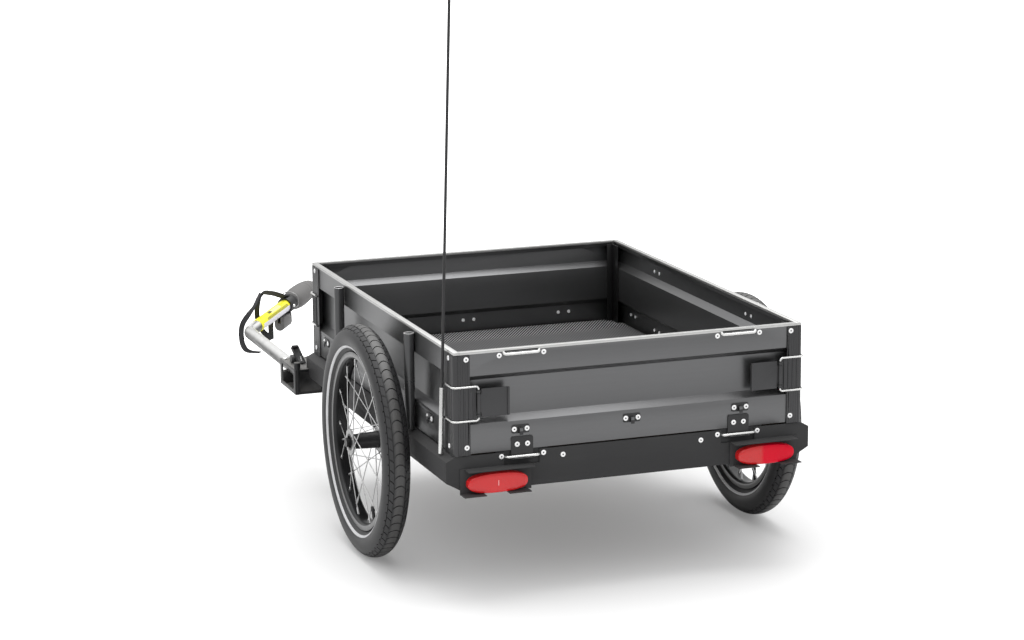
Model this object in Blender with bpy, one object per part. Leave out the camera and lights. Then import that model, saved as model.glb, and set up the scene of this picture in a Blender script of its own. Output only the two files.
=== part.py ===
"""Bicycle trailer: an open box of four pressed panels on a railed base, two spoked wheels on stub axles, and
a one-sided drawbar with a rubber coupling. Metres, +Z up, +Y is the way it is towed. Heights in this file
are taken from the ground. The whole model hangs from one empty, which puts the top of the floor board at
z = 0. A corner piece is modelled for the front right corner, where x and y are positive, and mirrored."""

import math

import bmesh
import bpy
from mathutils import Matrix, Vector

# Fits
CLEAR = 0.0003
WELD = 0.00001
BITE = 0.0005

# Wheels, 16 inch
TYRE_RADIUS = 0.2065
TYRE_WIDTH = 0.0490
TYRE_WALL = 0.0032
BEAD_HEIGHT = 0.0042
BEAD_THICKNESS = 0.0032
RIM_LIP_RADIUS = 0.1585
RIM_WIDTH = 0.0290
RIM_LIP_THICKNESS = 0.0023
RIM_DEPTH = 0.0130
RIM_WELL = 0.0045
WHEEL_GAP = 0.0122
HUB_BARREL_RADIUS = 0.0145
HUB_FLANGE_RADIUS = 0.0210
HUB_FLANGE_THICKNESS = 0.0030
HUB_FLANGE_SPREAD = 0.0430
HUB_WALL = 0.0027
HUB_INNER_END = 0.0277
HUB_OUTER_END = 0.0283
SPOKE_DIAMETER = 0.0020
SPOKES_PER_FLANGE = 14
SPOKE_CROSSINGS = 3
SPOKE_STAGGER = 0.0012
SPOKE_RIM_SPREAD = 0.0034
AXLE_DIAMETER = 0.0120
AXLE_GRIP = 0.0700
BEARING_DIAMETER = 0.0230
BEARING_WIDTH = 0.0070
BEARING_INSET = 0.0045
AXLE_BUTTON_DIAMETER = 0.0170
AXLE_BUTTON_LENGTH = 0.0040
AXLE_Y = -0.0803
HUB_END_STEP = 0.00054
RIM_STEPS = 36
HUB_STEPS = 14
TYRE_ARC_STEP = 36.0
CASING_ARC_STEP = 62.0

# Base
BOX_WIDTH = 0.6300
BOX_LENGTH = 0.8400
RAIL_PROUD = 0.0160
RAIL_HEIGHT = 0.0615
RAIL_SHEET = 0.0025
RAIL_SHOULDER = 0.0080
RAIL_CHAMFER_RUN = 0.0310
RAIL_CHAMFER_RISE = 0.0175
RAIL_TOP_FLANGE = 0.0270
RAIL_BOTTOM_FLANGE = 0.0150
CROSS_FLANGE = 0.0280
AXLE_ABOVE_RAIL_BOTTOM = 0.0125
BEAM_RADIUS = 0.0125
BOSS_RADIUS = 0.0165
BOSS_PROUD = 0.0070
BOSS_LENGTH = 0.0380
FLOOR_THICKNESS = 0.0162
FLOOR_GAP = 0.0035

# Panels
PANEL_GAP = 0.0030
PANEL_HEIGHT = 0.1735
SHEET = 0.0020
LIP_WIDTH = 0.0090
LIP_HEIGHT = 0.0045
HEM_HEIGHT = 0.0110
UPPER_BAND = 0.0417
UPPER_CHAMFER = 0.0093
RECESS_HEIGHT = 0.0630
LOWER_CHAMFER = 0.0100
RECESS_DEPTH = 0.0130
LOOP_FROM_SIDE = 0.1182
LOOP_SPAN = 0.0625
LOOP_WIRE = 0.0035
LOOP_DROP = 0.0065
HOOK_WIDTH = 0.0300
HOOK_PLATE = 0.0140
HOOK_PROUD = 0.0015
HOOK_REACH = 0.0065
HOOK_FINGER = 0.0060
HOOK_ABOVE_PANEL = 0.0355
END_HOOKS = (-0.2000, 0.0, 0.2000)
SIDE_HOOKS = (-0.2935, 0.0200, 0.3280)

# Corner profiles
CAP_WALL = 0.0012
CORNER_RADIUS = 0.0060
CORNER_BLOCK = 0.0075
END_CAP_WIDTH = 0.0207
SIDE_CAP_LEG = 0.0475
CAP_BELOW_LIP = 0.0055
CAP_LIFT = 0.0010
GROOVE = 0.0005
GROOVES = 4
ARC_STEP = 22.5

# Corner latches
LATCH_HEIGHT = 0.0860
LATCH_BAIL_SPREAD = 0.0580
LATCH_WIRE = 0.0036
LATCH_BAR_INSET = 0.0425
LATCH_WIRE_GAP = 0.0005
LATCH_REACH = 0.0352
BAR_BEND = 0.0040
EAR_THICKNESS = 0.0040
EAR_RADIUS = 0.0038
EAR_ARC_STEP = 40.0
SLEEVE_RADIUS = 0.0036
SLEEVE_LENGTH = 0.0330
SLEEVE_STEPS = 10
LATCH_BORE_STEPS = 8
LEVER_LENGTH = 0.0545
LEVER_HEIGHT = 0.0480
LEVER_THICKNESS = 0.0023
LEVER_RIDGE = 0.0040
LEVER_RIDGE_PROUD = 0.0024
CATCH_LENGTH = 0.0080
CATCH_PROUD = 0.0034

# Fold-down hinges
HINGE_FROM_SIDE = 0.1178
HINGE_NOTCH = 0.0625
HINGE_NOTCH_DEPTH = 0.0230
HINGE_BELOW_RAIL_TOP = 0.0080
HINGE_WIRE = 0.0040
HINGE_WIRE_BEND = 0.0035
HINGE_PLATE = 0.0015
HINGE_PLATE_WIDTH = 0.0925
HINGE_PLATE_HEIGHT = 0.0165
LEAF_WIDTH = 0.0390
LEAF_THICKNESS = 0.0016
LEAF_RISE = 0.0265
LEAF_CURL = 230.0
LEAF_ARC_STEP = 30.0
WIRE_BEND_STEPS = 2

# Stakes, reflectors, flag
STAKE_DIAMETER = 0.0170
STAKE_WALL = 0.0015
STAKE_Y = 0.2090
STAKE_BELOW_LIP = 0.0080
STAKE_STEPS = 12
LAMP_FROM_SIDE = 0.0705
LAMP_WIDTH = 0.1260
LAMP_PLATE = 0.0020
LAMP_PLATE_HEIGHT = 0.0440
LAMP_FLANGE = 0.0247
LAMP_FLANGE_SHEET = 0.0015
LAMP_FLANGE_WIDTH = 0.1180
LAMP_TAB = 0.0390
LAMP_TAB_START = 0.0075
LAMP_TAB_INSET = 0.0005
LAMP_UNDER_RAIL = 0.0040
REFLECTOR_LENGTH = 0.1060
REFLECTOR_HEIGHT = 0.0340
REFLECTOR_DEPTH = 0.0139
REFLECTOR_ROUND = 0.0035
REFLECTOR_END_STRETCH = 1.5
FERRULE_RADIUS = 0.0040
FERRULE_LENGTH = 0.1140
FERRULE_FLOOR = 0.0030
FERRULE_STEPS = 16
ROD_DIAMETER = 0.0050
ROD_LENGTH = 0.8250
FLAG_BESIDE_BOX = 0.0108
FLAG_FROM_END = 0.0425
FLAG_LIFT = 0.0029
FLAG_LEAN = (0.0213, -0.0355)

# Drawbar
BRACKET_WIDTH = 0.0560
BRACKET_HEIGHT = 0.0493
BRACKET_LENGTH = 0.1100
BRACKET_SHEET = 0.0025
BRACKET_OVERHANG = 0.0270
BRACKET_UNDER_RAIL = 0.0165
BRACKET_SET_BACK = 0.0150
WINDOW_MARGIN = 0.0130
WINDOW_FRAME = 0.0070
SADDLE_LENGTH = 0.0150
SADDLE_HEIGHT = 0.0260
TUBE_DIAMETER = 0.0250
TUBE_WALL = 0.0020
TUBE_LEVEL = 5
TUBE_BEND_STEPS = 5
TUBE_BORE_STEPS = 24
TUBE_INSET = 0.0220
TUBE_IN_BRACKET = 0.1030
STRAIGHT_LEG = 0.3218
TUBE_BEND = 0.0450
COUPLING_LEG = (0.1346, 0.1667, 0.0203)
COLLAR_START = 0.1860
COLLAR_LENGTH = 0.0305
COLLAR_RADIUS = 0.0180
COLLAR_CAP = 0.0030
COLLAR_STEPS = 16
BOOT_NECK = 0.0230
BOOT_RADIUS = 0.0238
BOOT_LENGTH = 0.1050
BOOT_CROWN_START = 0.01575
BOOT_WAIST_START = 0.0441
BOOT_WAIST = 0.022848
BOOT_TAPER = 0.020125
BOOT_TAPER_LENGTH = 0.0126
BOOT_MOUTH = 0.0175
BOOT_SOCKET = 0.0100
BOOT_SOCKET_DEPTH = 0.0320
BOOT_STEPS = 18
BOOT_ARC_STEP = 25.0
TONGUE_WIDTH = 0.0220
TONGUE_LENGTH = 0.0425
TONGUE_DROP = 0.0250
TONGUE_PIN_BELOW_COLLAR = 0.0065
TONGUE_PIN = 0.0040
TONGUE_PIN_FROM_END = 0.0260
LUG_RADIUS = 0.0038
LUG_WIDTH = 0.0060
CAM_RADIUS = 0.0085
CAM_WIDTH = 0.0110
CAM_Y = 0.0580
CAM_INSET = 0.0090
CAM_PIN = 0.0050
CAM_STEPS = 14
EAR_ROUND = 0.0055
CLAMP_ARM_BACK = 0.0125
CLAMP_ARM_FRONT = 0.0240
CLAMP_ARM_WIDTH = 0.0090
CLAMP_ARM_THICKNESS = 0.0035
CLAMP_ARM_OFFSET = 0.0090
CLAMP_ARM_TILT = 52.0
STRAP_WIDTH = 0.0110
STRAP_THICKNESS = 0.0018
STRAP_FROM_COLLAR_START = 0.0200
STRAP_LEAVES_COLLAR = 0.0030
OUTER_STRAP_SPANS = 26
INNER_STRAP_SPANS = 22

# Places worked out from the sizes above
HALF_WIDTH = BOX_WIDTH / 2
HALF_LENGTH = BOX_LENGTH / 2
LOOP_CENTRE = HALF_WIDTH - LOOP_FROM_SIDE
HINGE_CENTRE = HALF_WIDTH - HINGE_FROM_SIDE
LAMP_CENTRE = HALF_WIDTH - LAMP_FROM_SIDE
FLAG_X = HALF_WIDTH + FLAG_BESIDE_BOX
FLAG_Y = HALF_LENGTH - FLAG_FROM_END
AXLE_Z = TYRE_RADIUS
RAIL_BOTTOM = AXLE_Z - AXLE_ABOVE_RAIL_BOTTOM
RAIL_TOP = RAIL_BOTTOM + RAIL_HEIGHT
RAIL_OUT = HALF_WIDTH + RAIL_PROUD
FLOOR_TOP = RAIL_TOP + CLEAR + FLOOR_THICKNESS
PANEL_BOTTOM = RAIL_TOP + PANEL_GAP
LIP_TOP = PANEL_BOTTOM + PANEL_HEIGHT
WHEEL_X = RAIL_OUT + WHEEL_GAP + TYRE_WIDTH / 2
BOSS_END = RAIL_OUT + BOSS_PROUD
HUB_BORE = HUB_BARREL_RADIUS - HUB_WALL
BEARING_RADIUS = BEARING_DIAMETER / 2
AXLE_RADIUS = AXLE_DIAMETER / 2
CAP_X = HALF_WIDTH + CLEAR + CAP_WALL
CAP_Y = HALF_LENGTH + CLEAR + CAP_WALL
SEAM_X = CAP_X - CORNER_BLOCK
CAP_EDGE_X = SEAM_X - CLEAR - END_CAP_WIDTH
END_CAP_BACK = HALF_LENGTH - RECESS_DEPTH - SHEET - CLEAR - CAP_WALL
SIDE_CAP_BACK = HALF_WIDTH - RECESS_DEPTH - SHEET - CLEAR - CAP_WALL
SIDE_CAP_END = END_CAP_BACK - CLEAR
SIDE_CAP_START = CAP_Y - SIDE_CAP_LEG
CAP_TOP = LIP_TOP - CAP_BELOW_LIP
END_LIP_HALF = HALF_WIDTH - LIP_WIDTH - 2 * CLEAR
SIDE_SHEET_HALF = SIDE_CAP_END - CAP_WALL - CLEAR
LATCH_Z = PANEL_BOTTOM + LATCH_HEIGHT
LATCH_WIRE_RADIUS = LATCH_WIRE / 2
LATCH_BORE = LATCH_WIRE_RADIUS + CLEAR
BAR_X = CAP_X - LATCH_BAR_INSET
BAR_Y = CAP_Y + LATCH_WIRE_GAP + LATCH_WIRE_RADIUS
BAIL_X = CAP_X + LATCH_WIRE_GAP + LATCH_WIRE_RADIUS
BAIL_TIP_Y = CAP_Y - LATCH_REACH
HINGE_RADIUS = HINGE_WIRE / 2
HINGE_Y = HALF_LENGTH + CLEAR + LEAF_THICKNESS + CLEAR + HINGE_RADIUS
HINGE_Z = RAIL_TOP - HINGE_BELOW_RAIL_TOP
STAKE_X = HALF_WIDTH + CLEAR + STAKE_DIAMETER / 2
BRACKET_OUT = RAIL_OUT + BRACKET_OVERHANG
BRACKET_BACK = HALF_LENGTH - BRACKET_SET_BACK
BRACKET_BOTTOM = RAIL_BOTTOM - BRACKET_UNDER_RAIL
BRACKET_TOP = BRACKET_BOTTOM + BRACKET_HEIGHT
TUBE_RADIUS = TUBE_DIAMETER / 2
TUBE_X = TUBE_INSET - BRACKET_OUT
TUBE_Z = BRACKET_TOP - BRACKET_SHEET - 2 * CLEAR - TUBE_RADIUS
BRACKET_FRONT = BRACKET_BACK + BRACKET_LENGTH
ELBOW = Vector((TUBE_X, BRACKET_FRONT + STRAIGHT_LEG, TUBE_Z))
TUBE_BACK = Vector((TUBE_X, BRACKET_FRONT - TUBE_IN_BRACKET, TUBE_Z))
LEG_WAY = Vector(COUPLING_LEG).normalized()
LEG_ACROSS = LEG_WAY.cross(Vector((0, 0, 1))).normalized()
LEG_UP = LEG_ACROSS.cross(LEG_WAY)
COLLAR_END = COLLAR_START + COLLAR_LENGTH
BOOT_CENTRE = COLLAR_END + CLEAR + BOOT_NECK
TONGUE_PIN_Z = -COLLAR_RADIUS - TONGUE_PIN_BELOW_COLLAR
TONGUE_PIN_S = COLLAR_END - TONGUE_PIN_FROM_END

SIDES = {"left": -1, "right": 1}
ENDS = {"rear": -1, "front": 1}


def finish(name, colour, roughness, metallic):
    """A Principled material."""
    material = bpy.data.materials.new(name)
    material.use_nodes = True
    shader = material.node_tree.nodes["Principled BSDF"]
    shader.inputs["Base Color"].default_value = (*colour, 1)
    shader.inputs["Roughness"].default_value = roughness
    shader.inputs["Metallic"].default_value = metallic
    return material


def flat(axis, a, b, along):
    """The point whose coordinate on the axis is along, and whose others are a and b in X, Y, Z order."""
    return Vector({"X": (along, a, b), "Y": (a, along, b), "Z": (a, b, along)}[axis])


def tidy(bm):
    """Welds doubled points and turns all faces out."""
    bmesh.ops.remove_doubles(bm, verts=bm.verts, dist=WELD)
    bmesh.ops.recalc_face_normals(bm, faces=bm.faces)
    return bm


def moved(bm, matrix):
    """The mesh after a transform, which may mirror it."""
    bmesh.ops.transform(bm, matrix=matrix, verts=bm.verts)
    return tidy(bm)


def together(*parts):
    """One mesh of several closed shapes that don't touch."""
    whole = bmesh.new()
    for part in parts:
        shape = bpy.data.meshes.new("shape")
        part.to_mesh(shape)
        whole.from_mesh(shape)
        bpy.data.meshes.remove(shape)
    return whole


def stacked(outline, axis, levels, centre=(0, 0)):
    """A solid through copies of the outline: each level has its place on the axis and its scale about centre."""
    bm = bmesh.new()
    ring = [bm.verts.new(flat(axis, a, b, levels[0][0])) for a, b in outline]
    top = bm.faces.new(ring)
    for (here, size), (there, next_size) in zip(levels, levels[1:]):
        grown = bmesh.ops.extrude_face_region(bm, geom=[top])["geom"]
        if here != levels[0][0]:
            bmesh.ops.delete(bm, geom=[top], context="FACES_ONLY")
        top = next(item for item in grown if isinstance(item, bmesh.types.BMFace))
        bmesh.ops.translate(bm, verts=top.verts, vec=flat(axis, 0, 0, there - here))
        ratio = next_size / size
        middle = flat(axis, centre[0], centre[1], there)
        for vert in top.verts:
            vert.co = middle + (vert.co - middle) * ratio
    return tidy(bm)


def prism(outline, axis, start, end):
    """The outline extruded along the axis."""
    return stacked(outline, axis, ((start, 1), (end, 1)))


def block(x, y, z):
    """A box between pairs of limits."""
    return prism(((x[0], y[0]), (x[1], y[0]), (x[1], y[1]), (x[0], y[1])), "Z", z[0], z[1])


def arc(centre, radius, start, end, step=ARC_STEP):
    """Points on an arc, from one angle in degrees to another."""
    count = max(1, round(abs(end - start) / step))
    angles = (math.radians(start + (end - start) * i / count) for i in range(count + 1))
    return [(centre[0] + radius * math.cos(a), centre[1] + radius * math.sin(a)) for a in angles]


def strip(points, wall):
    """The closed outline of a folded sheet, with its wall to the left of the path."""
    path = [Vector(p) for p in points]
    ways = [(b - a).normalized() for a, b in zip(path, path[1:])]
    lefts = [Vector((-way.y, way.x)) for way in ways]
    inside = []
    for i, point in enumerate(path):
        before, after = lefts[max(i - 1, 0)], lefts[min(i, len(lefts) - 1)]
        middle = (before + after).normalized()
        inside.append(point + middle * (wall / middle.dot(after)))
    return [tuple(p) for p in path] + [tuple(p) for p in reversed(inside)]


def turned(profile, steps, ring=False):
    """A turned solid about +Z: the profile holds places on the axis and radii. A ring's profile is closed."""
    bm = bmesh.new()
    verts = [bm.verts.new((radius, 0, along)) for along, radius in profile]
    pairs = list(zip(verts, verts[1:])) + ([(verts[-1], verts[0])] if ring else [])
    edges = [bm.edges.new(pair) for pair in pairs]
    bmesh.ops.spin(
        bm, geom=verts + edges, cent=(0, 0, 0), axis=(0, 0, 1), angle=2 * math.pi, steps=steps, use_merge=True
    )
    return tidy(bm)


def aimed(bm, origin, way):
    """The mesh with its +Z turned to the way given and its origin moved."""
    turn = Vector((0, 0, 1)).rotation_difference(Vector(way)).to_matrix().to_4x4()
    return moved(bm, Matrix.Translation(origin) @ turn)


def rod(start, end, radius, steps=12):
    """A plain round bar between two points."""
    length = (Vector(end) - Vector(start)).length
    bar = turned(((0, 0), (0, radius), (length, radius), (length, 0)), steps)
    return aimed(bar, start, Vector(end) - Vector(start))


def bent(corners, radius, steps=4):
    """The route through the corners, each inner one rounded to a bend radius."""
    corners = [Vector(c) for c in corners]
    route = [corners[0]]
    for before, corner, after in zip(corners, corners[1:], corners[2:]):
        way_in, way_out = (corner - before).normalized(), (after - corner).normalized()
        turn = way_in.angle(way_out)
        start = corner - way_in * radius * math.tan(turn / 2)
        inward = (way_out - way_in * way_in.dot(way_out)).normalized()
        centre = start + inward * radius
        for i in range(steps + 1):
            angle = turn * i / steps
            route.append(centre - inward * radius * math.cos(angle) + way_in * radius * math.sin(angle))
    return route + [corners[-1]]


def wires(routes, radius, level=1):
    """Round wire along each route, with flat ends."""
    curve = bpy.data.curves.new("wire", "CURVE")
    curve.dimensions = "3D"
    curve.bevel_depth = radius
    curve.bevel_resolution = level
    curve.use_fill_caps = True
    for route in routes:
        spline = curve.splines.new("POLY")
        spline.points.add(len(route) - 1)
        for point, place in zip(spline.points, route):
            point.co = (*place, 1)
    carrier = bpy.data.objects.new("wire", curve)
    mesh = bpy.data.meshes.new_from_object(carrier)
    bm = bmesh.new()
    bm.from_mesh(mesh)
    bpy.data.objects.remove(carrier)
    bpy.data.meshes.remove(mesh)
    bpy.data.curves.remove(curve)
    return tidy(bm)


def object_of(name, bm):
    """A new object that shows the mesh."""
    mesh = bpy.data.meshes.new(name)
    bm.to_mesh(mesh)
    bm.free()
    made = bpy.data.objects.new(name, mesh)
    bpy.context.scene.collection.objects.link(made)
    return made


def pivot(name, place, carrier=None):
    """An empty on a joint's axis, carried by another empty."""
    empty = bpy.data.objects.new(name, None)
    bpy.context.scene.collection.objects.link(empty)
    empty.empty_display_size = 0.02
    empty["place"] = list(place)
    if carrier is not None:
        empty.parent = carrier
        empty.location = Vector(place) - Vector(carrier["place"])
    return empty


def piece(name, bm, material, carrier, smooth=True):
    """A finished piece of the trailer, modelled where it stands and carried by an empty."""
    made = object_of(name, bm)
    made.data.materials.append(material)
    made.parent = carrier
    made.location = -Vector(carrier["place"])
    if smooth:
        made.data.shade_smooth()
        made.data.set_sharp_from_angle(angle=math.radians(30))
    return made


def combine(target, operation, shapes):
    """Adds a Boolean for each shape, whose helper object moves with the target."""
    for shape in shapes:
        helper = object_of(f"{target.name}_{operation.lower()}", shape)
        helper.parent = target
        helper.hide_render = True
        helper.display_type = "WIRE"
        modifier = target.modifiers.new(operation.title(), "BOOLEAN")
        modifier.operation = operation
        modifier.solver = "EXACT"
        modifier.object = helper


def join(target, *shapes):
    """Unites the shapes with the target."""
    combine(target, "UNION", shapes)


def cut(target, *shapes):
    """Takes the shapes away from the target."""
    combine(target, "DIFFERENCE", shapes)


def corner(bm, side, end):
    """A shape of the front right corner, mirrored to another corner."""
    return moved(bm, Matrix.Diagonal((side, end, 1, 1)))


for old in list(bpy.data.objects):
    bpy.data.objects.remove(old)

SHEET_GREY = finish("grey powder coat", (0.105, 0.107, 0.110), 0.50, 0.35)
CAP_GREY = finish("dark anodised profile", (0.045, 0.046, 0.048), 0.42, 0.60)
BASE_BLACK = finish("black powder coat", (0.022, 0.022, 0.024), 0.55, 0.30)
BOARD_BLACK = finish("black film-faced board", (0.018, 0.018, 0.019), 0.60, 0.0)
STAKE_GREY = finish("stake grey", (0.075, 0.076, 0.078), 0.45, 0.50)
PLASTIC_BLACK = finish("black plastic", (0.016, 0.016, 0.017), 0.45, 0.0)
STEEL = finish("bright steel", (0.72, 0.72, 0.71), 0.22, 1.0)
ALUMINIUM = finish("brushed aluminium", (0.80, 0.80, 0.79), 0.32, 1.0)
RUBBER = finish("tyre rubber", (0.020, 0.020, 0.021), 0.85, 0.0)
RED = finish("red reflector", (0.70, 0.012, 0.010), 0.18, 0.0)
BOOT_GREY = finish("grey rubber", (0.30, 0.30, 0.29), 0.70, 0.0)
WEBBING = finish("black webbing", (0.020, 0.020, 0.022), 0.90, 0.0)

root = pivot("trailer", (0, 0, FLOOR_TOP))
root.location = (0, 0, 0)


def base():
    """Rails, floor board and axle beam."""
    bracket_space = block(
        (-BRACKET_OUT - CLEAR, -RAIL_OUT + BRACKET_WIDTH - BRACKET_OVERHANG + CLEAR),
        (BRACKET_BACK - CLEAR, HALF_LENGTH + BITE),
        (BRACKET_BOTTOM - CLEAR, BRACKET_TOP + CLEAR),
    )
    top_edge = HALF_WIDTH - RAIL_TOP_FLANGE
    bottom_corner = RAIL_OUT - RAIL_CHAMFER_RUN
    bottom_edge = bottom_corner - RAIL_BOTTOM_FLANGE
    section = strip(
        (
            (bottom_edge, RAIL_BOTTOM),
            (bottom_corner, RAIL_BOTTOM),
            (RAIL_OUT, RAIL_BOTTOM + RAIL_CHAMFER_RISE),
            (RAIL_OUT, RAIL_TOP - RAIL_SHOULDER),
            (HALF_WIDTH, RAIL_TOP),
            (top_edge, RAIL_TOP),
        ),
        RAIL_SHEET,
    )
    rail_half = HALF_LENGTH - RAIL_SHEET - CLEAR
    for side, sign in SIDES.items():
        shape = corner(prism(section, "Y", -rail_half, rail_half), sign, 1)
        rail = piece(f"{side}_side_rail", shape, BASE_BLACK, root)
        bore_start = (sign * (bottom_edge - BITE), AXLE_Y, AXLE_Z)
        bore_end = (sign * (RAIL_OUT + BITE), AXLE_Y, AXLE_Z)
        cut(rail, rod(bore_start, bore_end, BOSS_RADIUS + CLEAR, HUB_STEPS))
        if sign < 0:
            cut(rail, bracket_space.copy())
    half = (
        (bottom_corner, RAIL_BOTTOM),
        (RAIL_OUT, RAIL_BOTTOM + RAIL_CHAMFER_RISE),
        (RAIL_OUT, RAIL_TOP - RAIL_SHOULDER),
        (HALF_WIDTH, RAIL_TOP),
    )
    face = half + tuple((-x, z) for x, z in reversed(half))
    flange_start = HALF_LENGTH - CROSS_FLANGE
    flange_end = HALF_LENGTH - RAIL_SHEET + BITE
    for end, sign in ENDS.items():
        plate = corner(prism(face, "Y", HALF_LENGTH - RAIL_SHEET, HALF_LENGTH), 1, sign)
        rail = piece(f"{end}_cross_rail", plate, BASE_BLACK, root)
        top = (RAIL_TOP - BITE - RAIL_SHEET, RAIL_TOP - BITE)
        bottom = (RAIL_BOTTOM + BITE, RAIL_BOTTOM + BITE + RAIL_SHEET)
        top_half, bottom_half = top_edge - CLEAR, bottom_edge - CLEAR
        top_flange = block((-top_half, top_half), (flange_start, flange_end), top)
        bottom_flange = block((-bottom_half, bottom_half), (flange_start, flange_end), bottom)
        join(rail, corner(together(top_flange, bottom_flange), 1, sign))
        notches = [
            block(
                (x - HINGE_NOTCH / 2, x + HINGE_NOTCH / 2),
                (HALF_LENGTH - RAIL_SHEET - 2 * BITE, HALF_LENGTH + BITE),
                (RAIL_TOP - HINGE_NOTCH_DEPTH, RAIL_TOP + BITE),
            )
            for x in (-HINGE_CENTRE, HINGE_CENTRE)
        ]
        cut(rail, corner(together(*notches), 1, sign))
        if sign > 0:
            cut(rail, bracket_space.copy())

    edge_x, edge_y = HALF_WIDTH - SHEET - FLOOR_GAP - BITE, HALF_LENGTH - SHEET - FLOOR_GAP
    step_x, step_y = SIDE_CAP_BACK - 2 * BITE, SIDE_CAP_START - 2 * BITE
    inner_x, inner_y = CAP_EDGE_X - 2 * BITE, END_CAP_BACK - 2 * BITE
    quarter = (
        (edge_x, step_y),
        (step_x, step_y),
        (step_x, inner_y),
        (inner_x, inner_y),
        (inner_x, edge_y),
    )
    outline = (
        quarter
        + tuple((-x, y) for x, y in reversed(quarter))
        + tuple((-x, -y) for x, y in quarter)
        + tuple((x, -y) for x, y in reversed(quarter))
    )
    piece("floor_board", prism(outline, "Z", RAIL_TOP + CLEAR, FLOOR_TOP), BOARD_BLACK, root)

    bore = AXLE_RADIUS + CLEAR
    depth, shoulder = BOSS_END - AXLE_GRIP, BOSS_END - BOSS_LENGTH
    half = (
        (shoulder, BEAM_RADIUS),
        (shoulder, BOSS_RADIUS),
        (BOSS_END, BOSS_RADIUS),
        (BOSS_END, bore),
        (depth, bore),
        (depth, 0),
    )
    profile = tuple((-x, r) for x, r in reversed(half)) + half
    beam = aimed(turned(profile, HUB_STEPS), (0, AXLE_Y, AXLE_Z), (1, 0, 0))
    piece("axle_beam", beam, BASE_BLACK, root)


def panel_frame(axis, sign):
    """Turns places along a panel, into the box and up to the trailer's own, for one of the four panels."""
    if axis == "X":
        rows = ((1, 0, 0, 0), (0, -sign, 0, sign * HALF_LENGTH), (0, 0, 1, 0), (0, 0, 0, 1))
    else:
        rows = ((0, -sign, 0, sign * HALF_WIDTH), (1, 0, 0, 0), (0, 0, 1, 0), (0, 0, 0, 1))
    return Matrix(rows)


def panel(name, axis, sign, carrier, sheet_half, lip_half, loops, hooks):
    """One pressed panel: recess, hemmed lip, lashing hooks, and wire loops under the lip where it has them."""
    place = panel_frame(axis, sign)
    top = LIP_TOP - BITE
    recess_top = LIP_TOP - UPPER_BAND - UPPER_CHAMFER
    recess_bottom = recess_top - RECESS_HEIGHT
    section = strip(
        (
            (LIP_WIDTH, LIP_TOP - HEM_HEIGHT),
            (LIP_WIDTH, top),
            (0, top),
            (0, LIP_TOP - UPPER_BAND),
            (RECESS_DEPTH, recess_top),
            (RECESS_DEPTH, recess_bottom),
            (0, recess_bottom - LOWER_CHAMFER),
            (0, PANEL_BOTTOM),
        ),
        SHEET,
    )
    sheet = moved(prism(section, "X", -sheet_half, sheet_half), place)
    made = piece(name, sheet, SHEET_GREY, carrier)
    lip = block((-lip_half, lip_half), (-CLEAR, LIP_WIDTH + CLEAR), (LIP_TOP - LIP_HEIGHT, LIP_TOP))
    join(made, moved(lip, place))
    hook_z = PANEL_BOTTOM + HOOK_ABOVE_PANEL
    plates, fingers = [], []
    for along in hooks:
        plate_z = (hook_z - HOOK_PLATE / 2, hook_z + HOOK_PLATE / 2)
        plates.append(block((along - HOOK_WIDTH / 2, along + HOOK_WIDTH / 2), (-HOOK_PROUD, BITE), plate_z))
        finger = strip(
            ((-BITE, hook_z), (-HOOK_REACH + SHEET, hook_z), (-HOOK_REACH + SHEET, hook_z - HOOK_PLATE / 2 - BITE)),
            -SHEET,
        )
        fingers.append(prism(finger, "X", along - HOOK_FINGER / 2, along + HOOK_FINGER / 2))
    join(made, moved(together(*plates), place), moved(together(*fingers), place))
    if not loops:
        return
    radius = LOOP_WIRE / 2
    slots, routes = [], []
    wire_z = LIP_TOP - LOOP_DROP
    for along in loops:
        low, high = along - LOOP_SPAN / 2, along + LOOP_SPAN / 2
        slot_z = (wire_z - radius - 2 * BITE, LIP_TOP - LIP_HEIGHT + 3 * BITE)
        slots.append(block((low - radius, high + radius), (-2 * BITE, LIP_WIDTH / 2), slot_z))
        ends_z = LIP_TOP - LIP_HEIGHT / 3
        corners = ((low, BITE, ends_z), (low, BITE, wire_z), (high, BITE, wire_z), (high, BITE, ends_z))
        routes.append(bent(corners, radius + BITE, WIRE_BEND_STEPS))
    cut(made, moved(together(*slots), place))
    join(made, moved(wires(routes, radius), place))


def grooved(start, end):
    """Places along a cap's face and their depths, with shallow upright grooves between two ends."""
    pitch = (end - start) / (GROOVES + 1)
    points = []
    for i in range(1, GROOVES + 1):
        middle = start + pitch * i
        points += [(middle - GROOVE, 0), (middle, GROOVE), (middle + GROOVE, 0)]
    return points


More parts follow.
